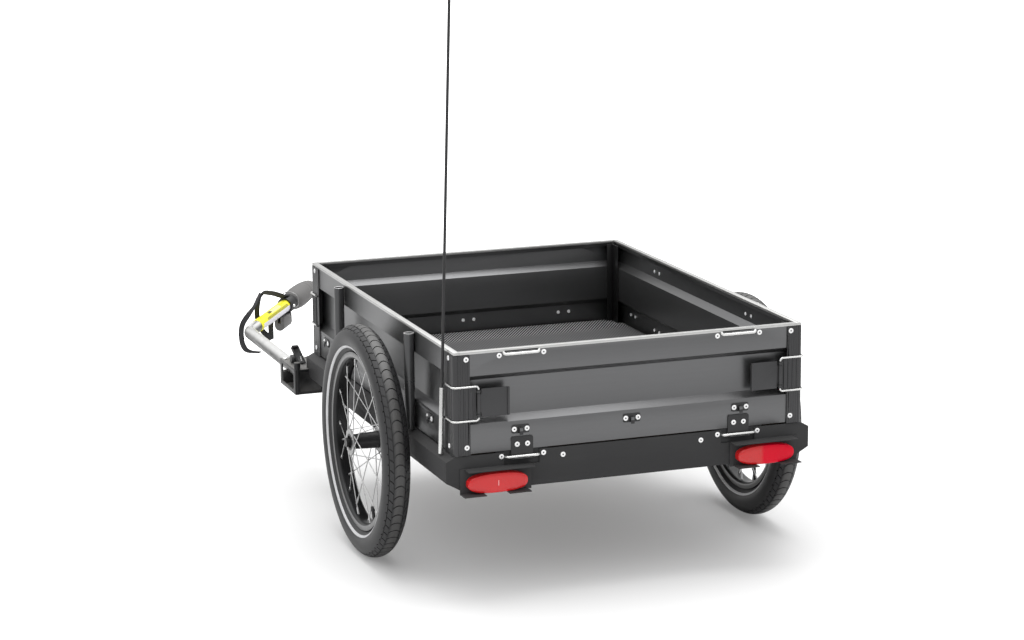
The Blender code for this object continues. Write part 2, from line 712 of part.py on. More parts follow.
def end_cap(side, end, carrier):
    """The upright profile on an end panel's end, with the two ears that hold its latch."""
    outer, back = SEAM_X - CLEAR, END_CAP_BACK
    face = [(x, CAP_Y - depth) for x, depth in grooved(CAP_EDGE_X, outer)]
    outline = (
        [(CAP_EDGE_X, CAP_Y)]
        + face
        + [
            (outer, CAP_Y),
            (outer, back),
            (CAP_EDGE_X, back),
            (CAP_EDGE_X, back + CAP_WALL),
            (outer - CAP_WALL, back + CAP_WALL),
            (outer - CAP_WALL, CAP_Y - CAP_WALL),
            (CAP_EDGE_X, CAP_Y - CAP_WALL),
        ]
    )
    shape = prism(outline, "Z", RAIL_TOP + CAP_LIFT, CAP_TOP)
    side_name, end_name = side_of(side), end_of(end)
    made = piece(f"{end_name}_panel_{side_name}_cap", corner(shape, side, end), CAP_GREY, carrier)
    arm_face = CAP_Y + 2 * BITE
    arm_angle = math.degrees(math.asin((arm_face - BAR_Y) / EAR_RADIUS))
    root_x = CAP_EDGE_X + 7 * BITE
    plan = [(root_x, BAR_Y - EAR_RADIUS)]
    plan += arc((BAR_X, BAR_Y), EAR_RADIUS, -90, arm_angle - 360, EAR_ARC_STEP)
    plan += [(root_x, arm_face)]
    ear_gap = SLEEVE_LENGTH / 2 + CLEAR
    ears = [
        prism(plan, "Z", LATCH_Z + ear_gap + 3 * BITE, LATCH_Z + ear_gap + 3 * BITE + EAR_THICKNESS),
        prism(plan, "Z", LATCH_Z - ear_gap - 3 * BITE - EAR_THICKNESS, LATCH_Z - ear_gap - 3 * BITE),
    ]
    join(made, corner(together(*ears), side, end))
    reach = LATCH_BAIL_SPREAD / 2
    hole = rod((BAR_X, BAR_Y, LATCH_Z - reach), (BAR_X, BAR_Y, LATCH_Z + reach), LATCH_BORE, LATCH_BORE_STEPS)
    cut(made, corner(hole, side, end))


def side_cap(side, end):
    """The upright profile on a side panel's end, which wraps the corner and carries the bail's two catches."""
    block_x, back = SEAM_X + CAP_WALL, SIDE_CAP_BACK
    centre = (CAP_X - CORNER_RADIUS, CAP_Y - CORNER_RADIUS)
    face = [(CAP_X - depth, y) for y, depth in grooved(SIDE_CAP_START, centre[1])]
    outline = (
        [(CAP_X, SIDE_CAP_START)]
        + face
        + arc(centre, CORNER_RADIUS, 0, 90)
        + [
            (SEAM_X, CAP_Y),
            (SEAM_X, SIDE_CAP_END),
            (back, SIDE_CAP_END),
            (back, SIDE_CAP_START),
            (back + CAP_WALL, SIDE_CAP_START),
            (back + CAP_WALL, SIDE_CAP_END - CAP_WALL),
            (block_x, SIDE_CAP_END - CAP_WALL),
            (block_x, CAP_Y - CAP_WALL),
        ]
        + arc(centre, CORNER_RADIUS - CAP_WALL, 90, 0)
        + [(CAP_X - CAP_WALL, SIDE_CAP_START)]
    )
    shape = prism(outline, "Z", RAIL_TOP + CLEAR, CAP_TOP)
    name = f"{side_of(side)}_panel_{end_of(end)}_cap"
    made = piece(name, corner(shape, side, end), CAP_GREY, root)
    catch_y = BAIL_TIP_Y - BITE
    catches = [
        block(
            (CAP_X - CAP_WALL / 2 - GROOVE / 2, CAP_X + CATCH_PROUD),
            (catch_y - CATCH_LENGTH, catch_y),
            (z - LATCH_WIRE_RADIUS, z + LATCH_WIRE_RADIUS),
        )
        for z in (LATCH_Z - LATCH_BAIL_SPREAD / 2, LATCH_Z + LATCH_BAIL_SPREAD / 2)
    ]
    join(made, corner(together(*catches), side, end))


def latch(side, end, panel_pivot):
    """A corner latch: a lever and a wire bail, which both turn on the bail's upright bar."""
    name = f"{end_of(end)}_{side_of(side)}_latch"
    axis = (side * BAR_X, end * BAR_Y, LATCH_Z)
    low, high = LATCH_Z - LATCH_BAIL_SPREAD / 2, LATCH_Z + LATCH_BAIL_SPREAD / 2
    around = (BAIL_X, BAR_Y)
    route = bent(
        (
            (BAIL_X, BAIL_TIP_Y, low),
            (*around, low),
            (BAR_X, BAR_Y, low),
            (BAR_X, BAR_Y, high),
            (*around, high),
            (BAIL_X, BAIL_TIP_Y, high),
        ),
        BAR_BEND,
        WIRE_BEND_STEPS,
    )
    wire = wires([route], LATCH_WIRE_RADIUS)
    bail_pivot = pivot(f"{name}_bail_axis", axis, panel_pivot)
    piece(f"{name}_bail", corner(wire, side, end), STEEL, bail_pivot)

    half_sleeve, half_plate = SLEEVE_LENGTH / 2, LEVER_HEIGHT / 2
    sleeve_profile = (
        (-half_sleeve, LATCH_BORE),
        (half_sleeve, LATCH_BORE),
        (half_sleeve, SLEEVE_RADIUS),
        (-half_sleeve, SLEEVE_RADIUS),
    )
    sleeve = aimed(turned(sleeve_profile, SLEEVE_STEPS, ring=True), (BAR_X, BAR_Y, LATCH_Z), (0, 0, 1))
    lever_pivot = pivot(f"{name}_lever_axis", axis, panel_pivot)
    lever = piece(f"{name}_lever", corner(sleeve, side, end), CAP_GREY, lever_pivot)
    tip_x = BAR_X - LEVER_LENGTH
    neck_x = BAR_X - EAR_RADIUS - 3 * BITE
    web_x = BAR_X - LATCH_BORE - CLEAR
    neck = half_sleeve - BITE
    outline = (
        (tip_x, LATCH_Z - half_plate),
        (neck_x, LATCH_Z - half_plate),
        (neck_x, LATCH_Z - neck),
        (web_x, LATCH_Z - neck),
        (web_x, LATCH_Z + neck),
        (neck_x, LATCH_Z + neck),
        (neck_x, LATCH_Z + half_plate),
        (tip_x, LATCH_Z + half_plate),
    )
    plate_back = BAR_Y - SLEEVE_RADIUS + CLEAR
    plate_face = plate_back + LEVER_THICKNESS
    plate = prism(outline, "Y", plate_back, plate_face)
    ridge = block(
        (tip_x + CLEAR, tip_x + LEVER_RIDGE),
        (plate_back + CLEAR, plate_face + LEVER_RIDGE_PROUD),
        (LATCH_Z - half_plate + CLEAR, LATCH_Z + half_plate - CLEAR),
    )
    join(lever, corner(plate, side, end), corner(ridge, side, end))


def hinge(side, end, panel_pivot):
    """A fold-down hinge: a wire staple in the rail's notch, and the hooked leaf on the panel."""
    x = HINGE_CENTRE
    place = f"{end_of(end)}_{side_of(side)}"
    half = HINGE_NOTCH / 2 - HINGE_RADIUS - BITE
    plate_face = HALF_LENGTH - RAIL_SHEET - CLEAR
    plate_top = RAIL_TOP - BITE - RAIL_SHEET - BITE
    plate = block(
        (x - HINGE_PLATE_WIDTH / 2, x + HINGE_PLATE_WIDTH / 2),
        (plate_face - HINGE_PLATE, plate_face),
        (plate_top - HINGE_PLATE_HEIGHT, plate_top),
    )
    staple = piece(f"{place}_hinge_wire", corner(plate, side, end), STEEL, root)
    route = bent(
        (
            (x - half, plate_face - HINGE_PLATE / 2, HINGE_Z),
            (x - half, HINGE_Y, HINGE_Z),
            (x + half, HINGE_Y, HINGE_Z),
            (x + half, plate_face - HINGE_PLATE / 2, HINGE_Z),
        ),
        HINGE_WIRE_BEND,
        WIRE_BEND_STEPS,
    )
    join(staple, corner(wires([route], HINGE_RADIUS), side, end))

    inner = HINGE_RADIUS + CLEAR
    centre = (HINGE_Y, HINGE_Z)
    top = PANEL_BOTTOM + LEAF_RISE - 2 * SHEET
    outline = [(HINGE_Y - inner - LEAF_THICKNESS, top)]
    outline += arc(centre, inner + LEAF_THICKNESS, 180, 180 + LEAF_CURL, LEAF_ARC_STEP)
    outline += arc(centre, inner, 180 + LEAF_CURL, 180, LEAF_ARC_STEP)
    outline += [(HINGE_Y - inner, top)]
    leaf = prism(outline, "X", x - LEAF_WIDTH / 2, x + LEAF_WIDTH / 2)
    piece(f"{place}_hinge_leaf", corner(leaf, side, end), CAP_GREY, panel_pivot)


def side_of(sign):
    """The name of a side."""
    return next(name for name, value in SIDES.items() if value == sign)


def end_of(sign):
    """The name of an end."""
    return next(name for name, value in ENDS.items() if value == sign)


def box():
    """Panels, corner profiles, latches, hinges and stakes."""
    for sign in ENDS.values():
        name = f"{end_of(sign)}_panel"
        fold = pivot(f"{name}_axis", (0, sign * HINGE_Y, HINGE_Z), root)
        loops = (-LOOP_CENTRE, LOOP_CENTRE)
        panel(name, "X", sign, fold, END_LIP_HALF - BITE, END_LIP_HALF, loops, END_HOOKS)
        for side in SIDES.values():
            end_cap(side, sign, fold)
            latch(side, sign, fold)
            hinge(side, sign, fold)
    for side in SIDES.values():
        panel(f"{side_of(side)}_panel", "Y", side, root, SIDE_SHEET_HALF, HALF_LENGTH, (), SIDE_HOOKS)
        for sign in ENDS.values():
            side_cap(side, sign)
            bottom, top = RAIL_TOP + CLEAR, LIP_TOP - STAKE_BELOW_LIP
            outer = STAKE_DIAMETER / 2
            inner = outer - STAKE_WALL
            profile = ((bottom, inner), (bottom, outer), (top, outer), (top, inner))
            tube = moved(turned(profile, STAKE_STEPS, ring=True), Matrix.Translation((STAKE_X, STAKE_Y, 0)))
            piece(f"{side_of(side)}_{end_of(sign)}_stake", corner(tube, side, sign), STAKE_GREY, root)


def tyre_profile():
    """The tyre's open casing: places across the wheel and radii."""
    section = TYRE_WIDTH / 2
    centre = (0, TYRE_RADIUS - section)
    inner = section - TYRE_WALL
    bead = RIM_WIDTH / 2 - RIM_LIP_THICKNESS - 2 * CLEAR
    lip = RIM_WIDTH / 2
    seat = RIM_LIP_RADIUS - BEAD_HEIGHT + CLEAR
    outer_angle = math.degrees(math.acos(lip / section))
    inner_angle = math.degrees(math.acos((bead - BEAD_THICKNESS) / inner))
    outer_arc = arc(centre, section, -outer_angle, 180 + outer_angle, TYRE_ARC_STEP)
    inner_arc = arc(centre, inner, 180 + inner_angle, -inner_angle, CASING_ARC_STEP)
    right = [(bead - BEAD_THICKNESS, seat), (bead, seat), (bead, RIM_LIP_RADIUS + CLEAR)]
    left = [(-a, r) for a, r in reversed(right)]
    return outer_arc + left + inner_arc + right


def rim_profile():
    """The double-walled rim."""
    half = RIM_WIDTH / 2
    seat = RIM_LIP_RADIUS - BEAD_HEIGHT
    inside = RIM_LIP_RADIUS - RIM_DEPTH
    right = [
        (half - 2 * RIM_LIP_THICKNESS, seat - RIM_WELL / 2),
        (half - RIM_LIP_THICKNESS, seat),
        (half - RIM_LIP_THICKNESS, RIM_LIP_RADIUS),
        (half, RIM_LIP_RADIUS),
        (half, inside + RIM_WELL),
        (half - RIM_WELL, inside),
    ]
    return right + [(-a, r) for a, r in reversed(right)]


def spokes():
    """Routes of the crossed spokes, from the flanges to the rim."""
    routes = []
    hub_radius = HUB_FLANGE_RADIUS - SPOKE_DIAMETER - BITE
    rim_radius = RIM_LIP_RADIUS - RIM_DEPTH - CLEAR - BITE
    step = 2 * math.pi / SPOKES_PER_FLANGE
    for flange in (-1, 1):
        first = 0 if flange < 0 else step / 2
        for i in range(SPOKES_PER_FLANGE):
            way = 1 if i % 2 else -1
            at_hub = first + step * i
            at_rim = at_hub + way * SPOKE_CROSSINGS * step
            across = flange * HUB_FLANGE_SPREAD / 2 + way * SPOKE_STAGGER
            rim_across = flange * SPOKE_RIM_SPREAD + way * SPOKE_STAGGER
            routes.append(
                (
                    Vector((hub_radius * math.cos(at_hub), hub_radius * math.sin(at_hub), WHEEL_X + across)),
                    Vector((rim_radius * math.cos(at_rim), rim_radius * math.sin(at_rim), WHEEL_X + rim_across)),
                )
            )
    return routes


def hub_profile():
    """The hub's barrel and flanges: distances from the trailer's middle, and radii."""
    start, end = WHEEL_X - HUB_INNER_END, WHEEL_X + HUB_OUTER_END
    thick = HUB_FLANGE_THICKNESS / 2
    neck = HUB_BARREL_RADIUS - HUB_END_STEP
    points = [(start, HUB_BORE), (start, neck)]
    for middle in (WHEEL_X - HUB_FLANGE_SPREAD / 2, WHEEL_X + HUB_FLANGE_SPREAD / 2):
        points += [
            (middle - thick, HUB_BARREL_RADIUS),
            (middle - thick, HUB_FLANGE_RADIUS),
            (middle + thick, HUB_FLANGE_RADIUS),
            (middle + thick, HUB_BARREL_RADIUS),
        ]
    return points + [(end, neck), (end, HUB_BORE)]


def axle_profile():
    """The stub axle with the inner rings of its two bearings and its release button."""
    start, hub_start, hub_end = BOSS_END - AXLE_GRIP + CLEAR, WHEEL_X - HUB_INNER_END, WHEEL_X + HUB_OUTER_END
    button = hub_end + 6 * BITE
    points = [(start, 0), (start, AXLE_RADIUS)]
    for ring in (hub_start + BEARING_INSET, hub_end - BEARING_INSET - BEARING_WIDTH):
        points += [
            (ring, AXLE_RADIUS),
            (ring, BEARING_RADIUS),
            (ring + BEARING_WIDTH, BEARING_RADIUS),
            (ring + BEARING_WIDTH, AXLE_RADIUS),
        ]
    radius = AXLE_BUTTON_DIAMETER / 2
    end = button + AXLE_BUTTON_LENGTH
    return points + [(button, AXLE_RADIUS), (button, radius), (end - BITE, radius), (end, radius - BITE), (end, 0)]


def wheels():
    """Two wheels on their stub axles."""
    for side, sign in SIDES.items():
        centre = (sign * WHEEL_X, AXLE_Y, AXLE_Z)
        middle = (0, AXLE_Y, AXLE_Z)
        out = (sign, 0, 0)
        spin = pivot(f"{side}_wheel_axis", centre, root)
        tyre = aimed(turned(tyre_profile(), RIM_STEPS, ring=True), centre, out)
        piece(f"{side}_tyre", tyre, RUBBER, spin)
        rim = aimed(turned(rim_profile(), RIM_STEPS, ring=True), centre, out)
        piece(f"{side}_rim", rim, PLASTIC_BLACK, spin)
        barrel = aimed(turned(hub_profile(), HUB_STEPS, ring=True), middle, out)
        hub = piece(f"{side}_hub", barrel, STEEL, spin)
        join(hub, aimed(wires(spokes(), SPOKE_DIAMETER / 2, 0), middle, out))
        axle = aimed(turned(axle_profile(), HUB_STEPS), middle, out)
        piece(f"{side}_stub_axle", axle, STEEL, root)


def lamps():
    """A red oval reflector in its bracket under each end of the rear rail."""
    plate_face = HALF_LENGTH + CLEAR
    plate_front = plate_face + LAMP_PLATE
    bottom = RAIL_BOTTOM - LAMP_UNDER_RAIL
    top = bottom + LAMP_PLATE_HEIGHT
    low, high = LAMP_CENTRE - LAMP_WIDTH / 2, LAMP_CENTRE + LAMP_WIDTH / 2
    reach = plate_face + LAMP_FLANGE
    tab_bottom = bottom + LAMP_TAB_INSET
    tab_top = tab_bottom + LAMP_FLANGE_SHEET
    flange_z = (top - CLEAR - LAMP_FLANGE_SHEET, top - CLEAR)
    tab_start = low + LAMP_TAB_START
    for side, sign in SIDES.items():
        shape = block((low, high), (plate_face, plate_front), (bottom, top))
        bracket = piece(f"{side}_reflector_bracket", corner(shape, sign, -1), BASE_BLACK, root)
        inset = plate_face + BITE
        folds = (
            block((low + CLEAR, low + LAMP_FLANGE_WIDTH), (inset, reach), flange_z),
            block((tab_start, tab_start + LAMP_TAB), (inset, reach), (tab_bottom, tab_top)),
            block((high - CLEAR - LAMP_TAB, high - CLEAR), (inset, reach), (tab_bottom, tab_top)),
        )
        join(bracket, corner(together(*folds), sign, -1))
        middle_z = tab_top + CLEAR + REFLECTOR_HEIGHT / 2
        rounded = REFLECTOR_HEIGHT / 2
        stretch = REFLECTOR_END_STRETCH
        flat_half = REFLECTOR_LENGTH / 2 - rounded * stretch
        right_end, left_end = arc((0, 0), rounded, -90, 90), arc((0, 0), rounded, 90, 270)
        outline = [(LAMP_CENTRE + flat_half + stretch * a, middle_z + b) for a, b in right_end]
        outline += [(LAMP_CENTRE - flat_half + stretch * a, middle_z + b) for a, b in left_end]
        back = plate_front + CLEAR
        front = back + REFLECTOR_DEPTH
        shrink = 1 - REFLECTOR_ROUND / REFLECTOR_HEIGHT
        levels = (
            (back, 1),
            (front - REFLECTOR_ROUND, 1),
            (front - REFLECTOR_ROUND / 4, (1 + shrink) / 2),
            (front, shrink),
        )
        lens = stacked(outline, "Y", levels, (LAMP_CENTRE, middle_z))
        piece(f"{side}_reflector", corner(lens, sign, -1), RED, root)


def flag():
    """The flag's rod in its ferrule at the rear left corner."""
    shoulder = RAIL_TOP - RAIL_SHOULDER * FLAG_BESIDE_BOX / RAIL_PROUD
    foot = Vector((-FLAG_X, -FLAG_Y, shoulder + FLAG_LIFT))
    way = Vector((*FLAG_LEAN, 1)).normalized()
    bore = ROD_DIAMETER / 2 + CLEAR
    profile = (
        (0, 0),
        (0, FERRULE_RADIUS - BITE),
        (BITE, FERRULE_RADIUS),
        (FERRULE_LENGTH, FERRULE_RADIUS),
        (FERRULE_LENGTH, bore),
        (FERRULE_FLOOR, bore),
        (FERRULE_FLOOR, 0),
    )
    piece("flag_holder", aimed(turned(profile, FERRULE_STEPS), foot, way), STEEL, root)
    start = foot + way * (FERRULE_FLOOR + CLEAR)
    lift = pivot("flag_pole_axis", start, root)
    piece("flag_pole", rod(start, start + way * ROD_LENGTH, ROD_DIAMETER / 2), PLASTIC_BLACK, lift)


def on_leg(across, along, up):
    """A point by its place along the drawbar's second leg, from the elbow, and beside and above its axis."""
    return ELBOW + LEG_ACROSS * across + LEG_WAY * along + LEG_UP * up


def leg_frame():
    """Turns +X across, +Y along and +Z above the second leg's axis."""
    frame = Matrix((LEG_ACROSS, LEG_WAY, LEG_UP)).transposed().to_4x4()
    return Matrix.Translation(ELBOW) @ frame


def pin_along(half, radius):
    """A round bar on the tongue's axis, as long to either side of the leg."""
    bar = rod((-half, TONGUE_PIN_S, TONGUE_PIN_Z), (half, TONGUE_PIN_S, TONGUE_PIN_Z), radius)
    return moved(bar, leg_frame())


def bracket():
    """The drawbar's socket at the front left corner, and the clamp lever on it."""
    left, right = -BRACKET_OUT, -BRACKET_OUT + BRACKET_WIDTH
    y = (BRACKET_BACK, BRACKET_FRONT)
    shape = block((left, right), y, (BRACKET_BOTTOM, BRACKET_TOP))
    made = piece("drawbar_bracket", shape, BASE_BLACK, root)
    wall = BRACKET_SHEET
    cut(
        made,
        block(
            (left + wall, right - wall),
            (y[0] + wall, y[1] + wall),
            (BRACKET_BOTTOM + wall, BRACKET_TOP - wall),
        ),
        block(
            (left - wall, left + 2 * wall),
            (y[0] + WINDOW_MARGIN, y[1] - WINDOW_MARGIN),
            (BRACKET_BOTTOM + WINDOW_FRAME, BRACKET_TOP - WINDOW_FRAME),
        ),
    )
    saddle_x = (left + wall / 2, TUBE_X + TUBE_RADIUS + wall)
    saddle_z = (BRACKET_BOTTOM + wall / 2, BRACKET_BOTTOM + SADDLE_HEIGHT)
    saddles = together(
        block(saddle_x, (y[1] - BITE - SADDLE_LENGTH, y[1] - BITE), saddle_z),
        block(saddle_x, (y[0] + wall / 2, y[0] + SADDLE_LENGTH - wall), saddle_z),
    )
    join(made, saddles)
    cut(made, rod((TUBE_X, y[0] + wall, TUBE_Z), (TUBE_X, y[1] + wall, TUBE_Z), TUBE_RADIUS + CLEAR, TUBE_BORE_STEPS))

    cam_x = left + CAM_INSET
    axis = Vector((cam_x, y[0] + CAM_Y, BRACKET_TOP + CLEAR + CAM_RADIUS))
    pin_radius = CAM_PIN / 2
    ear_start = cam_x + CAM_WIDTH + CLEAR
    foot_z = BRACKET_TOP - wall / 2
    ear = [(axis.y - CAM_RADIUS, foot_z), (axis.y + CAM_RADIUS, foot_z)]
    ear += arc((axis.y, axis.z), EAR_ROUND, 0, 180)
    join(made, prism(ear, "X", ear_start, ear_start + wall))
    join(made, rod(axis, (ear_start + wall / 2, axis.y, axis.z), pin_radius))

    bore = pin_radius + CLEAR
    profile = ((0, bore), (0, CAM_RADIUS), (CAM_WIDTH, CAM_RADIUS), (CAM_WIDTH, bore))
    clamp_pivot = pivot("drawbar_clamp_axis", axis, root)
    cam = aimed(turned(profile, CAM_STEPS, ring=True), axis, (1, 0, 0))
    lever = piece("drawbar_clamp_lever", cam, PLASTIC_BLACK, clamp_pivot)
    offset = (CLAMP_ARM_OFFSET - CLAMP_ARM_THICKNESS / 2, CLAMP_ARM_OFFSET + CLAMP_ARM_THICKNESS / 2)
    arm_x = (CAM_WIDTH - CLAMP_ARM_WIDTH / 2, CAM_WIDTH + CLAMP_ARM_WIDTH / 2)
    arm = block(arm_x, (-CLAMP_ARM_BACK, CLAMP_ARM_FRONT), offset)
    turn = Matrix.Rotation(math.radians(CLAMP_ARM_TILT), 4, "X")
    join(lever, moved(arm, Matrix.Translation(axis) @ turn))


def drawbar():
    """The bent tube, its collar, the rubber coupling and the tongue under it."""
    slide = pivot("drawbar_axis", TUBE_BACK, root)
    tube_end = COLLAR_END - COLLAR_CAP - CLEAR
    route = bent((TUBE_BACK, ELBOW, on_leg(0, tube_end, 0)), TUBE_BEND, TUBE_BEND_STEPS)
    tube = piece("drawbar_tube", wires([route], TUBE_RADIUS, TUBE_LEVEL), ALUMINIUM, slide)
    past = 2 * BITE
    ends = TUBE_BACK - Vector((0, past, 0)), on_leg(0, tube_end + past, 0)
    hollow = bent((ends[0], ELBOW, ends[1]), TUBE_BEND, TUBE_BEND_STEPS)
    cut(tube, wires([hollow], TUBE_RADIUS - TUBE_WALL, TUBE_LEVEL))

    bore = TUBE_RADIUS + CLEAR
    profile = (
        (COLLAR_START, bore),
        (COLLAR_START, COLLAR_RADIUS - BITE),
        (COLLAR_START + BITE, COLLAR_RADIUS),
        (COLLAR_END - BITE, COLLAR_RADIUS),
        (COLLAR_END, COLLAR_RADIUS - BITE),
        (COLLAR_END, 0),
        (COLLAR_END - COLLAR_CAP, 0),
        (COLLAR_END - COLLAR_CAP, bore),
    )
    sleeve = aimed(turned(profile, COLLAR_STEPS, ring=True), ELBOW, LEG_WAY)
    collar = piece("coupling_collar", sleeve, PLASTIC_BLACK, slide)
    lug_half = LUG_WIDTH / 2
    lug = pin_along(lug_half, LUG_RADIUS)
    web = block(
        (-lug_half + CLEAR, lug_half - CLEAR),
        (TONGUE_PIN_S - LUG_RADIUS + CLEAR, TONGUE_PIN_S + LUG_RADIUS - CLEAR),
        (TONGUE_PIN_Z, -bore - BITE),
    )
    pin_half = TONGUE_WIDTH / 2 - BITE
    join(collar, lug, moved(web, leg_frame()), pin_along(pin_half, TONGUE_PIN / 2))

    neck = [(BOOT_CENTRE + a, r) for a, r in arc((0, 0), BOOT_NECK, 180, 105, BOOT_ARC_STEP)]
    end = COLLAR_END + CLEAR + BOOT_LENGTH
    profile = neck + [
        (BOOT_CENTRE + BOOT_CROWN_START, BOOT_RADIUS),
        (BOOT_CENTRE + BOOT_WAIST_START, BOOT_WAIST),
        (end - BOOT_TAPER_LENGTH, BOOT_TAPER),
        (end, BOOT_MOUTH),
        (end, BOOT_SOCKET),
        (end - BOOT_SOCKET_DEPTH, BOOT_SOCKET),
        (end - BOOT_SOCKET_DEPTH, 0),
    ]
    swivel = pivot("coupling_axis", on_leg(0, BOOT_CENTRE, 0), slide)
    piece("coupling_boot", aimed(turned(profile, BOOT_STEPS), ELBOW, LEG_WAY), BOOT_GREY, swivel)

    hinge_axis = pivot("tongue_axis", on_leg(0, TONGUE_PIN_S, TONGUE_PIN_Z), slide)
    top = TONGUE_PIN_Z + LUG_RADIUS
    front = TONGUE_PIN_S + LUG_RADIUS + 2 * BITE
    half = TONGUE_WIDTH / 2
    plan = [(half, top), (-half, top)] + arc((0, top - TONGUE_DROP + half), half, 180, 360)
    body = moved(prism(plan, "Y", front - TONGUE_LENGTH, front), leg_frame())
    tongue = piece("coupling_tongue", body, BOOT_GREY, hinge_axis)
    slot = block(
        (-lug_half - CLEAR, lug_half + CLEAR),
        (front - TONGUE_LENGTH - BITE, front + BITE),
        (TONGUE_PIN_Z - LUG_RADIUS - 2 * CLEAR, top + BITE),
    )
    cut(tongue, moved(slot, leg_frame()), pin_along(half + BITE, TONGUE_PIN / 2 + CLEAR))
    strap(slide)


def smooth_route(points, count):
    """Points read from one smooth curve through the given ones."""
    knots = [Vector(p) for p in points]
    knots = [knots[0] * 2 - knots[1]] + knots + [knots[-1] * 2 - knots[-2]]
    route = []
    spans = len(knots) - 3
    for i in range(count + 1):
        place = spans * i / count
        span = min(int(place), spans - 1)
        t = place - span
        a, b, c, d = knots[span : span + 4]
        square, cube = 2 * a - 5 * b + 4 * c - d, 3 * b - a - 3 * c + d
        route.append(0.5 * (2 * b + (c - a) * t + square * t**2 + cube * t**3))
    return route


def ribbon(route, width, thickness, across):
    """Flat webbing along a route. Its width turns evenly from the first direction across to the second."""
    bm = bmesh.new()
    ends = [route[0]] + list(route) + [route[-1]]
    rings = []
    for i, (before, here, after) in enumerate(zip(ends, route, ends[2:])):
        way = (after - before).normalized()
        level = across[0].lerp(across[1], i / (len(route) - 1))
        level = (level - way * level.dot(way)).normalized()
        face = level.cross(way)
        corners = ((-1, -1), (1, -1), (1, 1), (-1, 1))
        rings.append([bm.verts.new(here + level * a * width / 2 + face * b * thickness / 2) for a, b in corners])
    for ring, after in zip(rings, rings[1:]):
        for i in range(4):
            bm.faces.new((ring[i], ring[i - 1], after[i - 1], after[i]))
    bm.faces.new(rings[0])
    bm.faces.new(list(reversed(rings[-1])))
    return tidy(bm)


def strap(carrier):
    """The safety strap: one strand from the collar's top round the elbow to its loose end, one beside the tube."""
    on_collar = COLLAR_RADIUS + CLEAR + STRAP_THICKNESS / 2
    outer = (
        on_leg(0, COLLAR_START + STRAP_FROM_COLLAR_START, on_collar),
        on_leg(0, COLLAR_START + STRAP_LEAVES_COLLAR, on_collar + CLEAR),
        on_leg(0, 0.1650, 0.0300),
        on_leg(0, 0.1214, 0.0480),
        on_leg(0, 0.0703, 0.0619),
        on_leg(0, 0.0332, 0.0452),
        ELBOW + Vector((-0.0060, 0.0190, 0.0184)),
        ELBOW + Vector((-0.0120, 0.0172, 0.0013)),
        ELBOW + Vector((-0.0140, 0.0100, -0.0120)),
        ELBOW + Vector((-0.0142, -0.0018, -0.0259)),
        ELBOW + Vector((-0.0091, -0.0218, -0.0348)),
        ELBOW + Vector((0.0098, -0.0468, -0.0342)),
    )
    inner = (
        on_leg(-0.0010, 0.0745, 0.0612),
        on_leg(-0.0060, 0.0673, 0.0474),
        on_leg(-0.0170, 0.0810, 0.0129),
        on_leg(-0.0185, 0.0908, -0.0074),
        on_leg(-0.0060, 0.0783, -0.0215),
        on_leg(0.0040, 0.0758, -0.0294),
        on_leg(0.0080, 0.0868, -0.0433),
        on_leg(0.0040, 0.0994, -0.0322),
        on_leg(-0.0040, 0.1180, -0.0218),
        on_leg(-0.0140, 0.1492, -0.0162),
    )
    across = (LEG_ACROSS, LEG_WAY)
    band = ribbon(smooth_route(outer, OUTER_STRAP_SPANS), STRAP_WIDTH, STRAP_THICKNESS, across)
    webbing = piece("safety_strap", band, WEBBING, carrier)
    narrower = STRAP_WIDTH - 2 * CLEAR
    join(webbing, ribbon(smooth_route(inner, INNER_STRAP_SPANS), narrower, STRAP_THICKNESS, across))


base()
box()
wheels()
lamps()
flag()
bracket()
drawbar()
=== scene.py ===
"""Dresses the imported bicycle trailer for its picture: pressed grey panels on black rails, two spoked wheels,
a bent drawbar with a rubber coupling, and a flag rod.

Metres, +Z up. +Y is the way it is towed, z = 0 is the floor board's top and the ground is at z = -0.272."""

import logging
import math
from collections.abc import Callable, Iterator, Sequence
from contextlib import contextmanager
from dataclasses import dataclass, field
from enum import Enum

import bmesh
import bpy
from mathutils import Matrix, Vector


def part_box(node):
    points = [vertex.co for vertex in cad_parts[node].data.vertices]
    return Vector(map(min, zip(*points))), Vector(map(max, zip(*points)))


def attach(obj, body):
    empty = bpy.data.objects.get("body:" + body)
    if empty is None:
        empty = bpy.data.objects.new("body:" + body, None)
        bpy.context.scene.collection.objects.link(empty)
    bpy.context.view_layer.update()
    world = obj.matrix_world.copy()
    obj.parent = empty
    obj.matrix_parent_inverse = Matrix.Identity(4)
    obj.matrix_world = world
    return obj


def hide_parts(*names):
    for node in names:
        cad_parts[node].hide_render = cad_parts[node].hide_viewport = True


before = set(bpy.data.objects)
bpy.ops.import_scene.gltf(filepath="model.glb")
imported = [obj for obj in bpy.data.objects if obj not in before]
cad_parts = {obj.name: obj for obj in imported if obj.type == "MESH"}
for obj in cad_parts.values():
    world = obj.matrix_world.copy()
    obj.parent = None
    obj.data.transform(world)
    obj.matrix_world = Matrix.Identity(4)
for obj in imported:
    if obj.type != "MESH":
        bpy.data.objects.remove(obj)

LOG = logging.getLogger("trailer")
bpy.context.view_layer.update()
Point = Sequence[float]
Pair = tuple[float, float]
Triple = tuple[float, float, float]
Term = "Value | float | Point"
# Pale grey mixed onto what faces up: settled dust, and painted top light where the share is large.
DUST_AND_TOP_LIGHT = (0.45, 0.44, 0.42)
AXLE = (0.3677, -0.0803, -0.0655)
HAIR = 0.000002


class Side(Enum):
    """The trailer's two sides, with the sign of their x."""

    LEFT = -1
    RIGHT = 1

    @property
    def word(self) -> str:
        """The side's name, as in the names of nodes."""
        return self.name.lower()


class End(Enum):
    """The trailer's two ends, with the sign of their y."""

    REAR = -1
    FRONT = 1

    @property
    def word(self) -> str:
        """The end's name, as in the names of nodes."""
        return self.name.lower()

    @property
    def panel_body(self) -> str:
        """The body that the end's panel folds with."""
        return f"{self.word}_panel_assembly"


